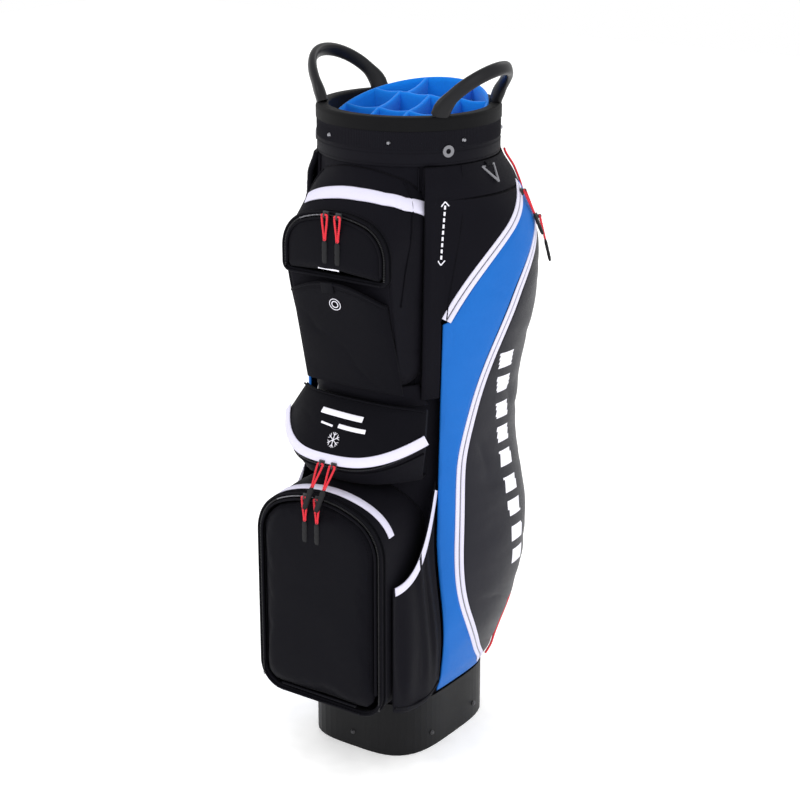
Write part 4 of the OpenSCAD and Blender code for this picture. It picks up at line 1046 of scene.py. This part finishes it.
@dataclass(frozen=True)
class Housing:
    """A pocket's fabric side, from the ring round its door back to the body."""

    front: Array
    rear: Array
    y_at: Callable[[Array], Array]

    def place(self, s: Array, d: Array, g: Array | float) -> Array:
        """The side's surface: s runs round it from 0 to 1 and d from the door to the body."""
        n = len(self.front)
        i = np.mod(np.asarray(s, float), 1) * n
        grid = np.arange(n + 1)
        get = lambda line, c: np.interp(i, grid, np.append(line[:, c], line[0, c]))
        fx, fz, rx, rz = (get(line, c) for line in (self.front, self.rear) for c in (0, 1))
        turn = np.roll(self.front, -1, 0) - np.roll(self.front, 1, 0)
        turn /= np.linalg.norm(turn, axis=1, keepdims=True)
        nx, nz = get(turn, 1), -get(turn, 0)
        y0, y1 = self.y_at(fz), FORM.skin_y(rx, rz, 0.8)
        soft = 2.2 * np.sin(math.pi * np.clip(d, 0, 1))
        out = np.asarray(g) + soft
        return np.stack([lerp(fx, rx, d) + nx * out, lerp(y0, y1, d), lerp(fz, rz, d) + nz * out], -1)

    def where(self, x: float, top: bool = True) -> float:
        """The value of s on the upper (or lower) part at x."""
        mid = self.front[:, 1].mean()
        ok = (self.front[:, 1] > mid) == top
        gap = np.where(ok, np.abs(self.front[:, 0] - x), 1e9)
        return float(np.argmin(gap)) / len(self.front)

    def build(self, piece: Piece, seed: float) -> None:
        """Add the fabric side as a closed sleeve."""
        s = np.linspace(0, 1, 220, endpoint=False)[:, None]
        d = np.linspace(0, 1, 22)[None, :]
        s, d = np.broadcast_arrays(s, d)
        p = self.place(s, d, 0.0)
        mid = np.sin(math.pi * d) ** 0.5
        outer = self.place(s, d, mid * (0.9 * ripple(p, 46, seed) - 1.3 * crease(p, 17, seed)))
        inner = self.place(s, d, -2.6)
        piece.grid(np.concatenate([outer, inner[:, ::-1]], 1)[::-1], Finish.BODY, round_u=True, round_v=True)


@dataclass(frozen=True)
class Door:
    """A padded, zipped door."""

    arch: Arch
    face: float
    swell: float
    body: str
    node: str

    def y_front(self, x: Array, z: Array) -> Array:
        """How far back the door's front lies."""
        mid, half = (self.arch.low + self.arch.top) / 2, (self.arch.top - self.arch.low) / 2
        r = np.maximum(np.abs(x) / self.arch.half, np.abs(z - mid) / half)
        return self.face + 1.4 - self.swell * (1 - np.clip(r, 0, 1) ** 3)

    def place(self, x: Array, z: Array, g: Array | float) -> Array:
        """The door's front as a surface."""
        x, z, g = np.broadcast_arrays(np.asarray(x, float), np.asarray(z, float), np.asarray(g, float))
        return points(x, self.y_front(x, z) - g, z)

    def build(self, trim: Callable[["Door", Piece], None]) -> None:
        """Build the padded cover and the trim on it."""
        line = self.arch.round(-0.5, 160)
        mid = np.array([0.0, (self.arch.low + self.arch.top) / 2])
        rings = [0.02, 0.15, 0.3, 0.45, 0.6, 0.72, 0.82, 0.9, 0.95, 0.98, 1.0]
        rows = []
        for r in rings:
            q = mid + (line - mid) * r
            y = self.y_front(q[:, 0], q[:, 1]) + 3.0 * smooth((r - 0.9) / 0.1)
            y = y - 0.8 * ripple(np.stack([q[:, 0], 0 * q[:, 0], q[:, 1]], -1), 40, 5.0) * (1 - r**4)
            rows.append(np.stack([q[:, 0], y, q[:, 1]], -1))
        for y, r in ((8.0, 1.0), (10.6, 0.99), (11.2, 0.94), (11.4, 0.5), (11.4, 0.02)):
            q = mid + (line - mid) * r
            rows.append(np.stack([q[:, 0], np.full(len(q), self.face + y), q[:, 1]], -1))
        p = np.stack(rows, 1)[::-1]
        piece = Piece(f"{self.node}_cover").grid(p, Finish.DOOR, round_u=True)
        m, n = p.shape[:2]
        piece.faces += [tuple(i * n for i in range(m)), tuple(i * n + n - 1 for i in reversed(range(m)))]
        piece.marks += [0, 0]
        cover = piece.done(self.body, [self.node])
        puff(cover, 3.0, 5.0)
        extra = Piece(f"{self.node}_trim")
        edge = self.arch.over(-2.2, 200)
        keep = edge[(edge[:, 1] > self.arch.low + self.arch.foot)]
        flat: Place = lambda x, z, g: points(x, self.face + 3.5 - np.asarray(g), z)
        Run.through(flat, keep, 3).piping(extra, 1.9, Finish.DOOR, 1.8)
        trim(self, extra)
        extra.done(self.body)


class FrontPockets:
    """The stack of pockets down the front."""

    def _ball_trim(self, door: Door, piece: Piece) -> None:
        """Seams, stitches and the lower binding of the ball pocket's door."""
        for g in (-9.0, -11.5):
            edge = door.arch.over(g, 160)
            keep = edge[edge[:, 1] > door.arch.low + 30]
            Run.through(door.place, keep, 3).blocks(piece, 4.2, STITCH, Finish.BODY, 1.0)
        Run.through(door.place, [(-62, 112), (62, 112)], 4).piping(piece, 1.6, Finish.DOOR, 1.0)
        for x0, x1, z in ((-34, 34, 262), (-26, 26, 250)):
            Run.through(door.place, [(x0, z), (x1, z)], 3).ribbon(piece, 4.5, 0.3, Finish.BODY, 3.4)

    def _upper_trim(self, door: Door, piece: Piece) -> None:
        """Short plain dashes on the upper door."""
        dashes = ((-20, 13, 692.5, 3.6), (-16, -8, 701, 4.5), (4, 12, 701, 4.5), (-16, -9, 708, 3.0),
                  (6, 13, 708, 3.0))
        for x0, x1, z, w in dashes:
            Run.through(door.place, [(x0, z), (x1, z)], 2).ribbon(piece, w, 0.25, Finish.PRINT, 3.2)

    def _ring(self, piece: Piece, arch: Arch, face: float, low: float) -> None:
        """The zip round a door: tape, two rows of teeth and two lines of piping."""
        flat: Place = lambda x, z, g: points(x, face + 5.0 - np.asarray(g), z)
        rows = [np.stack([o[:, 0], np.full(len(o), face + y), o[:, 1]], -1) for o, y in
                ((arch.round(0.9, 240), 6.2), (arch.round(4.6, 240), 5.0), (arch.round(5.5, 240), 6.0),
                 (arch.round(5.6, 240), 12.8), (arch.round(1.0, 240), 12.8))]
        piece.grid(np.stack(rows, 1)[::-1], Finish.DOOR, round_u=True, round_v=True)
        edge = arch.over(1.6, 260)
        left = (edge[:, 0] < -6) & (edge[:, 0] > -0.72 * arch.half) & (edge[:, 1] > arch.top - 45)
        first = int(np.argmax(left))
        last = first + int(left.sum())
        for part, finish in ((edge[:first + 1], Finish.BLACK_METAL), (edge[first:last], Finish.TEETH),
                             (edge[last - 1:], Finish.BLACK_METAL)):
            Run.through(flat, part[part[:, 1] > low], 2.5).blocks(piece, 2.1, (1.1, 2.6, 1.1), finish, 1.0)
        for g, radius, lift in ((5.2, 1.8, 0.6), (6.3, 1.5, -6.8)):
            edge = arch.round(g, 300)
            Run.through(flat, np.concatenate([edge, edge[:1]]), 3).piping(piece, radius, Finish.DOOR, lift)

    def build(self) -> None:
        """Build the pockets from the bottom up."""
        ball = Housing(BALL.round(5.7, 240), Arch(82.4, 107, 400.3, 55, 30).round(5.7, 240),
                       lambda z: BALL_FACE + 12.4 + 0 * z)
        piece = Piece("ball_pocket_side")
        ball.build(piece, 1.4)
        self._band(piece, ball, -78, 96, 0.13, 0.20, 13)
        piece.done("bag", ["ball_pocket_box"])

        lean = lambda z: np.where(z > 680, -136.55, lerp(-113.9, -136.55, np.clip((z - 530) / 150, 0, 1)))
        upper = Housing(Arch(76, 535.7, 758, 42, 30).round(5.7, 240),
                        Arch(82, 535.7, 809.3, 42, 30).round(5.7, 240), lean)
        for line in (upper.front, upper.rear):
            low = (line[:, 0] < 0) & (line[:, 1] < 684)
            line[low, 0] *= lerp(0.80, 1.0, smooth((line[low, 1] - 530) / 154))
        piece = Piece("upper_pocket_side")
        upper.build(piece, 6.2)
        hem = ((-60, 0.33), (-20, 0.35), (20, 0.40), (48, 0.48), (66, 0.62), (78, 0.92))
        knots = [(upper.where(x), d) for x, d in hem]
        Run.through(upper.place, knots, 3).ribbon(piece, 18, 0.8, Finish.TAPE, 0.9)
        for x in (86, -86):
            knots = [(upper.where(x * 0.62), 0.95), (upper.where(x * 0.9), 0.55), (upper.where(x * 0.98), 0.2)]
            Run.through(upper.place, knots, 3).piping(piece, 1.2, Finish.DOOR, 0.5)
        piece.done("bag", ["upper_pocket_box"])

        ring = Piece("door_zips")
        self._ring(ring, BALL, BALL_FACE, 112)
        self._ring(ring, UPPER, UPPER_FACE, 684)
        ring.done("bag", ["zip_tracks"])
        Door(BALL, BALL_FACE, 3.0, "ball_door", "ball_door").build(self._ball_trim)
        Door(UPPER, UPPER_FACE, 2.4, "upper_door", "upper_door").build(self._upper_trim)
        self._pouch(lean)
        self._cooler()

    @staticmethod
    def _band(piece: Piece, house: Housing, x0: float, x1: float, d0: float, d1: float, width: float) -> None:
        """Sew a pale band across the top of a pocket's side."""
        xs = np.linspace(x0, x1, 24)
        s = np.array([house.where(x) for x in xs])
        d = np.linspace(d0, d1, 24)
        line = Run.through(house.place, np.stack([s, d], -1), 3)
        line.ribbon(piece, width, 0.8, Finish.TAPE, 0.9)

    def _pouch(self, lean: Callable[[Array], Array]) -> None:
        """The open pouch with an arched top edge, a pull tab and a ringed emblem."""
        t, q = np.linspace(0, 1, 60)[None, :], np.linspace(-1, 1, 80)[:, None]

        def at(q: Array, t: Array, g: Array | float) -> Array:
            t = np.asarray(t, float)
            hw = lerp(np.where(q < 0, 67.0, 86.0), 75.0, t)
            dep = lerp(9.0, 15.0, t)
            z = lerp(530.0, 674.0 - 22.0 * q * q, t)
            y = lean(z) - 0.6 - 2.0 - (dep - 3.0) * np.clip(1 - np.abs(q) ** 3.2, 0, 1) ** 0.55
            return points(q * hw, y - np.asarray(g), z)

        q2, t2 = np.broadcast_arrays(q, t)
        p = at(q2, t2, 0.0)
        edge = np.clip(1 - np.abs(q2) ** 6, 0, 1)
        outer = at(q2, t2, 0.4 + edge * (0.9 * ripple(p, 50, 8.0) - 1.2 * crease(p, 24, 8.5)))
        inner = outer + np.array([0.0, 2.2, 0.0])
        piece = Piece("range_pouch_cover").slab(outer, inner, Finish.DOOR)
        x, z = np.broadcast_arrays(np.linspace(-1, 1, 40)[:, None], np.linspace(531, 683, 30)[None, :])
        x = x * np.where(x < 0, lerp(66.0, 79.0, (z - 531) / 152), 79.0)
        back = np.stack([x, lean(z) - 0.2, z], -1)
        piece.slab(back, back + np.array([0.0, 1.6, 0.0]), Finish.BODY)
        q, h = np.broadcast_arrays(np.linspace(-1, 1, 60)[:, None], np.linspace(0, 1, 14)[None, :])
        x, z = q * np.where(q < 0, lerp(80.0, 66.0, h), lerp(95.0, 86.0, h)), lerp(508.0, 536.0, h)
        y = np.minimum(FORM.skin_y(x, z, 1.5), lerp(-107.0, -115.0, h) + 34 * np.abs(q) ** 5)
        apron = np.stack([x, y - 1.5 * np.sin(math.pi * h), z], -1)
        piece.slab(apron, apron + np.array([0.0, 2.0, 0.0]), Finish.BODY)
        Run.through(at, [(-0.98, 0.985), (0, 0.985), (0.98, 0.985)], 3).piping(piece, 1.7, Finish.DOOR, 0.8)
        Run.through(at, [(-0.95, 0.94), (0, 0.94), (0.95, 0.94)], 3).blocks(piece, 3.8, SHORT_STITCH, Finish.BODY, 1.3)
        for r, w in ((4.0, 1.3), (7.2, 1.0)):
            turn = np.linspace(0, 2 * math.pi, 40)
            ring = np.stack([r * 1.25 * np.cos(turn) / 80 + 0.02, 0.80 + r * np.sin(turn) / 140], -1)
            Run.through(at, ring, 1.2).ribbon(piece, w, 0.3, Finish.PRINT, 1.6)
        Run.through(at, [(-0.10, 1.0), (-0.09, 0.90)], 2).ribbon(piece, 20, 1.2, Finish.WEBBING, 1.6)
        piece.done("bag", ["range_pouch"])

    def _cooler(self) -> None:
        """The cooler's sloping padded lid, its zip, and the box under it."""
        hw = 112.0

        def lid(u: Array, v: Array, g: Array | float) -> Array:
            u, v, g = np.broadcast_arrays(np.asarray(u, float), np.asarray(v, float), np.asarray(g, float))
            k = np.abs(u) ** 3
            y, z = lerp(-163.24 + 62 * k, -111.0 + 20 * k, v), lerp(434.0 + 36 * k, 508.0, v)
            bow = 7 * np.sin(math.pi * np.clip(v, 0, 1)) * (1 - u * u) + g
            wide = np.where(u < 0, lerp(106.0, 84.0, v), lerp(hw, 108.0, v))
            return np.stack([u * wide, y - bow * 0.77, z + bow * 0.63], -1)

        u, v = np.broadcast_arrays(np.linspace(-1, 1, 90)[:, None], np.linspace(0, 1, 44)[None, :])
        p = lid(u, v, 0.0)
        edge = np.minimum(1, 9 * np.minimum(1 - np.abs(u), np.minimum(v, 1 - v) * 0.8))
        top = lid(u, v, 5.8 + 2.2 * edge**0.5 + edge * (0.9 * ripple(p, 44, 2.0) - 1.2 * crease(p, 21, 2.4)))
        piece = Piece("cooler_lid_cover").slab(top, lid(u, v, 0.0), Finish.DOOR)
        cover = piece.done("cooler_lid", ["cooler_lid"])
        trim = Piece("cooler_lid_trim")
        Run.through(lid, [(-0.99, 0.07), (0, 0.07), (0.99, 0.07)], 3).ribbon(trim, 13.5, 1.0, Finish.TAPE, 7.0)
        Run.through(lid, [(-0.99, 0.0), (0, 0.0), (0.99, 0.0)], 3).piping(trim, 1.7, Finish.DOOR, 5.5)
        Run.through(lid, [(-0.97, 0.96), (0, 0.96), (0.97, 0.96)], 3).piping(trim, 1.5, Finish.DOOR, 7.4)
        for x0, x1, row, w in ((-0.30, 0.34, 0.70, 8.5), (0.06, 0.42, 0.53, 6.0), (-0.22, -0.02, 0.53, 3.0)):
            Run.through(lid, [(x0, row), (x1, row - 0.02)], 3).ribbon(trim, w, 0.3, Finish.PRINT, 9.4)
        centre = np.array([0.05, 0.33])
        for k in range(6):
            d = np.array([math.cos(k * math.pi / 3 + 0.5) * 9 / hw, math.sin(k * math.pi / 3 + 0.5) * 9 / 84])
            Run.through(lid, [centre, centre + d], 1.5).ribbon(trim, 1.0, 0.3, Finish.PRINT, 9.2)
            side = np.array([-d[1] * 84 / hw, d[0] * hw / 84]) * 0.35
            for e in (-1, 1):
                barb = [centre + d * 0.6, centre + d * 0.92 + e * side]
                Run.through(lid, barb, 1.5).ribbon(trim, 0.8, 0.3, Finish.PRINT, 9.2)
        trim.done("cooler_lid")

        def front(u: Array, w: Array) -> Array:
            k = np.abs(u) ** 3
            top_z = 432.5 + 36 * k
            z = lerp(408.15, top_z, w)
            edge_y = -163.24 + 62 * k
            return np.stack([u * hw * lerp(0.84, 1.0, w), lerp(edge_y + 16, edge_y, w), z], -1)

        w = np.linspace(0, 1, 14)[None, :]
        u = np.linspace(-1, 1, 90)[:, None]
        u, w = np.broadcast_arrays(u, w)
        face = front(u, w)
        face[..., 1] -= 1.2 * np.sin(math.pi * w) + 0.6 * ripple(face, 30, 3.0)
        xr = u * hw * 0.8
        back_y = np.maximum(FORM.skin_y(xr, face[..., 2], 0.8) - 0.4, face[..., 1] + 8)
        back = np.stack([xr, back_y, face[..., 2]], -1)
        box = Piece("cooler_side").slab(face, face + np.array([0, 2.6, 0.0]), Finish.BODY)
        box.slab(back[::-1], (back - np.array([0, 2.4, 0.0]))[::-1], Finish.BODY)
        floor = lerp(face[:, :1], back[:, :1], np.linspace(0, 1, 8)[None, :, None])
        box.slab(floor[:, ::-1], floor[:, ::-1] + np.array([0, 0, 2.6]), Finish.BODY)

        def rim(a: Array, b: Array, g: Array | float) -> Array:
            return front(np.asarray(a), np.asarray(b)) - np.array([0, 1.0, 0]) * np.asarray(g)[..., None]

        mouth = Run.through(rim, [(-0.99, 0.93), (0, 0.93), (0.99, 0.93)], 2.5)
        mouth.blocks(box, 2.1, (1.1, 2.6, 1.0), Finish.BLACK_METAL, 0.6)
        Run.through(rim, [(-0.99, 0.72), (0, 0.72), (0.99, 0.72)], 3).piping(box, 1.5, Finish.DOOR, 1.2)
        box.done("bag", ["cooler_box"])
        lining = Piece("cooler_lining")
        inner = face * np.array([0.94, 1, 1]) + np.array([0, 6.0, 0])
        lining.slab(inner[:, 1:12], inner[:, 1:12] + np.array([0, 0.8, 0]), Finish.FOIL)
        back2 = back * np.array([0.94, 1, 1]) - np.array([0, 4.5, 0])
        lining.slab(back2[::-1, 1:12], back2[::-1, 1:12] - np.array([0, 0.8, 0]), Finish.FOIL)
        ends = lerp(inner[:, 1:2], back2[:, 1:2], np.linspace(0, 1, 8)[None, :, None]) + np.array([0, 0, 2.0])
        lining.slab(ends[:, ::-1], ends[:, ::-1] + np.array([0, 0, 0.8]), Finish.FOIL)
        lining.done("bag", ["cooler_liner"])


class Pulls:
    """Twisted cord pulls with moulded tips, one on every slider."""

    def _one(self, zip_name: str, side: Side) -> None:
        """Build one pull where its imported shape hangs."""
        name = f"{zip_name}_pull_{side.word}"
        pts = self._points(name)
        slider = self._points(f"{zip_name}_slider_{side.word}").mean(0)
        mid = pts.mean(0)
        axes = np.linalg.svd(pts - mid, full_matrices=False)[2]
        down = axes[0] if np.dot(axes[0], mid - slider) > 0 else -axes[0]
        along = (pts - mid) @ down
        start, length = mid + down * along.min(), float(along.max() - along.min())
        wide = axes[1]
        out = np.cross(down, wide)
        piece = Piece(f"{name}_cord")
        t = np.linspace(0, 1, 60)
        loop = max(10.0, length - 30.0)
        for s in (-1, 1):
            spread = 3.1 * (1 - smooth(t)) + 1.0
            for ply in (0.0, math.pi):
                turn = t * 13 * math.pi * s + ply
                offset = wide * (s * spread + 0.65 * np.cos(turn))[:, None] + out * (0.65 * np.sin(turn))[:, None]
                piece.tube(start + down * (1.4 + t * loop)[:, None] + offset, 0.95, Finish.RED, 6)
        bail = np.linspace(0, math.pi, 14)
        arcs = start + wide * (4.0 * np.cos(bail))[:, None] + down * (1.6 - 1.0 * np.sin(bail))[:, None]
        piece.tube(arcs, 1.45, Finish.RED, 8)
        tip_t = np.linspace(0, 1, 20)
        girth = 2.2 + 1.8 * smooth(tip_t / 0.2) - 1.1 * smooth((tip_t - 0.85) / 0.15)
        ring = np.linspace(0, 2 * math.pi, 16, endpoint=False)
        centre = start + down * (loop - 1 + tip_t * (length - loop + 1))[:, None]
        rib = 1 - 0.10 * (np.sin(tip_t * 26) > 0.55) * (tip_t > 0.2) * (tip_t < 0.8)
        sq = lambda v: np.sign(v) * np.abs(v) ** 0.6
        p = (centre[:, None] + wide * (girth * rib)[:, None, None] * sq(np.cos(ring))[None, :, None]
             + out * (0.52 * girth * rib)[:, None, None] * sq(np.sin(ring))[None, :, None])
        piece.grid(p, Finish.RUBBER, round_v=True)
        n = 16
        piece.cap(piece.count - 20 * n, piece.count - n, n, Finish.RUBBER)
        piece.done(name, [name])

    @staticmethod
    def _points(node: str) -> Array:
        """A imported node's corners, in millimetres."""
        return np.array([v.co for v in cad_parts[node].data.vertices], float) / MM

    def build(self) -> None:
        """Build every pull."""
        for zip_name in ("ball", "upper", "cooler", "apparel", "valuables"):
            for side in Side:
                self._one(zip_name, side)


class BackGear:
    """The shoulder strap, its pad and anchors, and the webbing that holds the rings."""

    Z0, Z1 = 448.0, 792.0

    def _strap_y(self, v: Array, z: Array) -> Array:
        """How far back the strap's inner face lies."""
        t = np.clip(FORM.level(z), 0, 1)
        return 20 * t + lerp(FORM.low_d, FORM.top_r, t) + 5 + 22 * np.sin(math.pi * v)

    def _face(self, lift: float) -> Place:
        """The strap's surface, lift outside its inner face."""

        def at(v: Array, x: Array, g: Array | float) -> Array:
            z = lerp(self.Z0, self.Z1, v)
            return points(x, self._strap_y(v, z) + lift + np.asarray(g), z)

        return at

    def _strip(self, piece: Piece, v0: float, v1: float, width: float, low: float, high: float,
               finish: Finish, swell: float = 0.0, n: int = 70) -> None:
        """Add a curved strip of the strap.

        Args:
            piece: The piece to add to.
            v0: Where it starts, from 0 at the strap's lower end to 1 at its upper end.
            v1: Where it ends.
            width: Its width, in millimetres.
            low: Lift of its inner face.
            high: Lift of its outer face.
            finish: Its finish.
            swell: How far its middle crowns.
            n: Points along it.
        """
        q = np.linspace(-1, 1, 13)[:, None]
        v = np.linspace(v0, v1, n)[None, :]
        q, v = np.broadcast_arrays(q, v)
        z = lerp(self.Z0, self.Z1, v)
        s = (v - v0) / (v1 - v0)
        ends = np.clip(1 - np.abs(2 * s - 1) ** 8, 0, 1) if swell else 1
        half = width / 2 * (1 - 0.18 * (1 - ends)) if swell else width / 2
        y = self._strap_y(v, z)
        lift = high + swell * (1 - q**4) * ends
        outer = np.stack([q * half, y + lift, z], -1)[::-1]
        inner = np.stack([q * half, y + low, z], -1)[::-1]
        piece.slab(outer, inner, finish)

    def build(self) -> None:
        """Build the strap and its parts."""
        strap = Piece("shoulder_strap_webbing")
        self._strip(strap, 0, 1, 38, 0.4, 3.6, Finish.WEBBING)
        for s in (-1, 1):
            place = self._face(3.6)
            Run.through(place, [(0.02, 16.0 * s), (0.98, 16.0 * s)], 3).blocks(strap, 4.2, STITCH, Finish.BODY, 0.0)
        strap.done("bag", ["shoulder_strap"])
        pad = Piece("shoulder_pad")
        self._strip(pad, 0.24, 0.76, 54, 4.8, 11.0, Finish.DOOR, 2.2, 90)
        cover = pad.done("bag", ["strap_pad"])
        puff(cover, 3.0, 5.0, 4.5)
        trim = Piece("shoulder_pad_seams")
        face = self._face(13.4)
        for x in (-14.0, 0.0, 14.0):
            Run.through(face, [(0.30, x), (0.70, x)], 3).blocks(trim, 4.0, (2.4, 0.8, 0.5), Finish.BODY, 0.0)
        trim.done("bag")
        anchors = Piece("strap_anchor_webbing")
        for z0, z1 in ((423.0, 447.0), (793.0, 817.0)):
            q, h = np.broadcast_arrays(np.linspace(-22, 22, 15)[:, None], np.linspace(z0, z1, 13)[None, :])
            t = np.clip(FORM.level(h), 0, 1)
            y = 20 * t + lerp(FORM.low_d, FORM.top_r, t) + 1.2 - (q / 22) ** 2 * 1.0
            bow = 10.6 - 2.0 * (np.abs(q) / 22) ** 4 - 1.2 * np.abs(2 * (h - z0) / (z1 - z0) - 1) ** 4
            anchors.slab(np.stack([q, y + bow, h], -1)[::-1], np.stack([q, y, h], -1)[::-1], Finish.WEBBING)
            box: Place = lambda x, zz, g, y0=float(y.mean()): points(x, y0 + 10.4 + np.asarray(g), zz)
            ring = [(-16, z0 + 4), (16, z0 + 4), (16, z1 - 4), (-16, z1 - 4), (-16, z0 + 4), (16, z1 - 4)]
            Run.through(box, ring, 2).blocks(anchors, 3.4, (2.2, 0.7, 0.4), Finish.RED, 0.0)
        anchors.done("bag", ["strap_anchors"])
        self._loops()

    def _loops(self) -> None:
        """The webbing tabs that hold the towel rings."""
        piece = Piece("ring_tabs")
        lo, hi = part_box("strap_loops")
        top, low = hi.z / MM, lo.z / MM
        out = hi.x / MM
        for side in Side:
            half = (top - low) / 2
            centre = np.array([out - half, FORM.collar_back, (top + low) / 2])
            turn = np.linspace(-95, 185, 30)
            x = np.concatenate([[centre[0] - 5.0], centre[0] + (half - 0.2) * np.cos(np.radians(turn))])
            z = np.concatenate([[centre[2] - half], centre[2] + (half - 0.2) * np.sin(np.radians(turn))])
            y = np.linspace(-1, 1, 9) * ((hi.y - lo.y) / MM / 2 - 0.3) + (hi.y + lo.y) / MM / 2
            xx, yy = np.broadcast_arrays(x[:, None], y[None, :])
            zz = np.broadcast_to(z[:, None], xx.shape)
            outer = np.stack([xx, yy, zz], -1)
            toward = unit(np.stack([centre[0] - xx, 0 * xx, centre[2] - zz], -1))
            inner = outer + toward * 1.3
            piece.slab(sided(outer, side), sided(inner, side), Finish.WEBBING)
        piece.done("bag", ["strap_loops"])


@dataclass(frozen=True)
class Studio:
    """The pale floor, soft lights and camera."""

    floor_colour: tuple[float, float, float] = (0.90, 0.90, 0.90)
    floor_glow: float = 0.22
    lights: tuple[tuple[str, tuple[float, float, float], float, float], ...] = (
        ("key", (-1.2, -2.6, 2.6), 1.6, 20), ("fill", (2.8, -1.6, 1.9), 2.2, 13),
        ("rim_light", (0.6, 2.4, 2.4), 1.6, 12))
    camera_at: tuple[float, float, float] = (1.4225, -2.0315, 1.32)
    tilt: float = 71.2
    heading: float = 35.0
    lens: float = 86.94

    def _light(self, name: str, where: tuple[float, float, float], size: float, power: float) -> None:
        """Add one soft light aimed at the middle of the bag.

        Args:
            name: The light's name.
            where: Its place, in metres.
            size: Its width, in metres.
            power: Its power, in watts.
        """
        data = bpy.data.lights.new(name, "AREA")
        data.shape, data.size, data.energy = "DISK", size, power
        obj = bpy.data.objects.new(name, data)
        obj.location = where
        aim = Vector((0, 0, 0.45)) - obj.location
        obj.rotation_euler = aim.to_track_quat("-Z", "Y").to_euler()
        bpy.context.scene.collection.objects.link(obj)

    def build(self) -> None:
        """Set up the studio."""
        scene = bpy.context.scene
        world = bpy.data.worlds.new("studio")
        world.use_nodes = True
        back = world.node_tree.nodes["Background"]
        back.inputs["Color"].default_value, back.inputs["Strength"].default_value = (1.0, 1.0, 1.0, 1), 1.0
        scene.world = world
        mesh = bpy.data.meshes.new("floor")
        mesh.from_pydata([(-6, -6, 0), (6, -6, 0), (6, 6, 0), (-6, 6, 0)], [], [(0, 1, 2, 3)])
        floor = bpy.data.objects.new("floor", mesh)
        paper = Moulded("floor_paper", self.floor_colour, 0.7, 0.01, 2.0).build()
        surface = paper.node_tree.nodes["Principled BSDF"].inputs
        surface["Emission Color"].default_value = (1, 1, 1, 1)
        surface["Emission Strength"].default_value = self.floor_glow
        floor.data.materials.append(paper)
        scene.collection.objects.link(floor)
        for light in self.lights:
            self._light(*light)
        camera = bpy.data.cameras.new("camera")
        camera.lens, camera.sensor_width = self.lens, 36
        seen = bpy.data.objects.new("camera", camera)
        seen.location = self.camera_at
        seen.rotation_euler = (math.radians(self.tilt), 0, math.radians(self.heading))
        scene.collection.objects.link(seen)
        scene.camera = seen
        scene.view_settings.view_transform = "Standard"


def main() -> None:
    """Build the bag in order."""
    logging.basicConfig(level=logging.INFO, format="%(name)s %(message)s")
    Hardware().build()
    Handles().build()
    BodyShell().build()
    Collar().build()
    Dividers().build()
    tapes = Piece("side_zip_tapes")
    for side in Side:
        SideCover(side).build(tapes)
    tapes.done("bag", ["side_zip_tracks"])
    FrontPockets().build()
    Pulls().build()
    BackGear().build()
    Studio().build()
    bpy.context.view_layer.update()


if __name__ == "__main__":
    main()
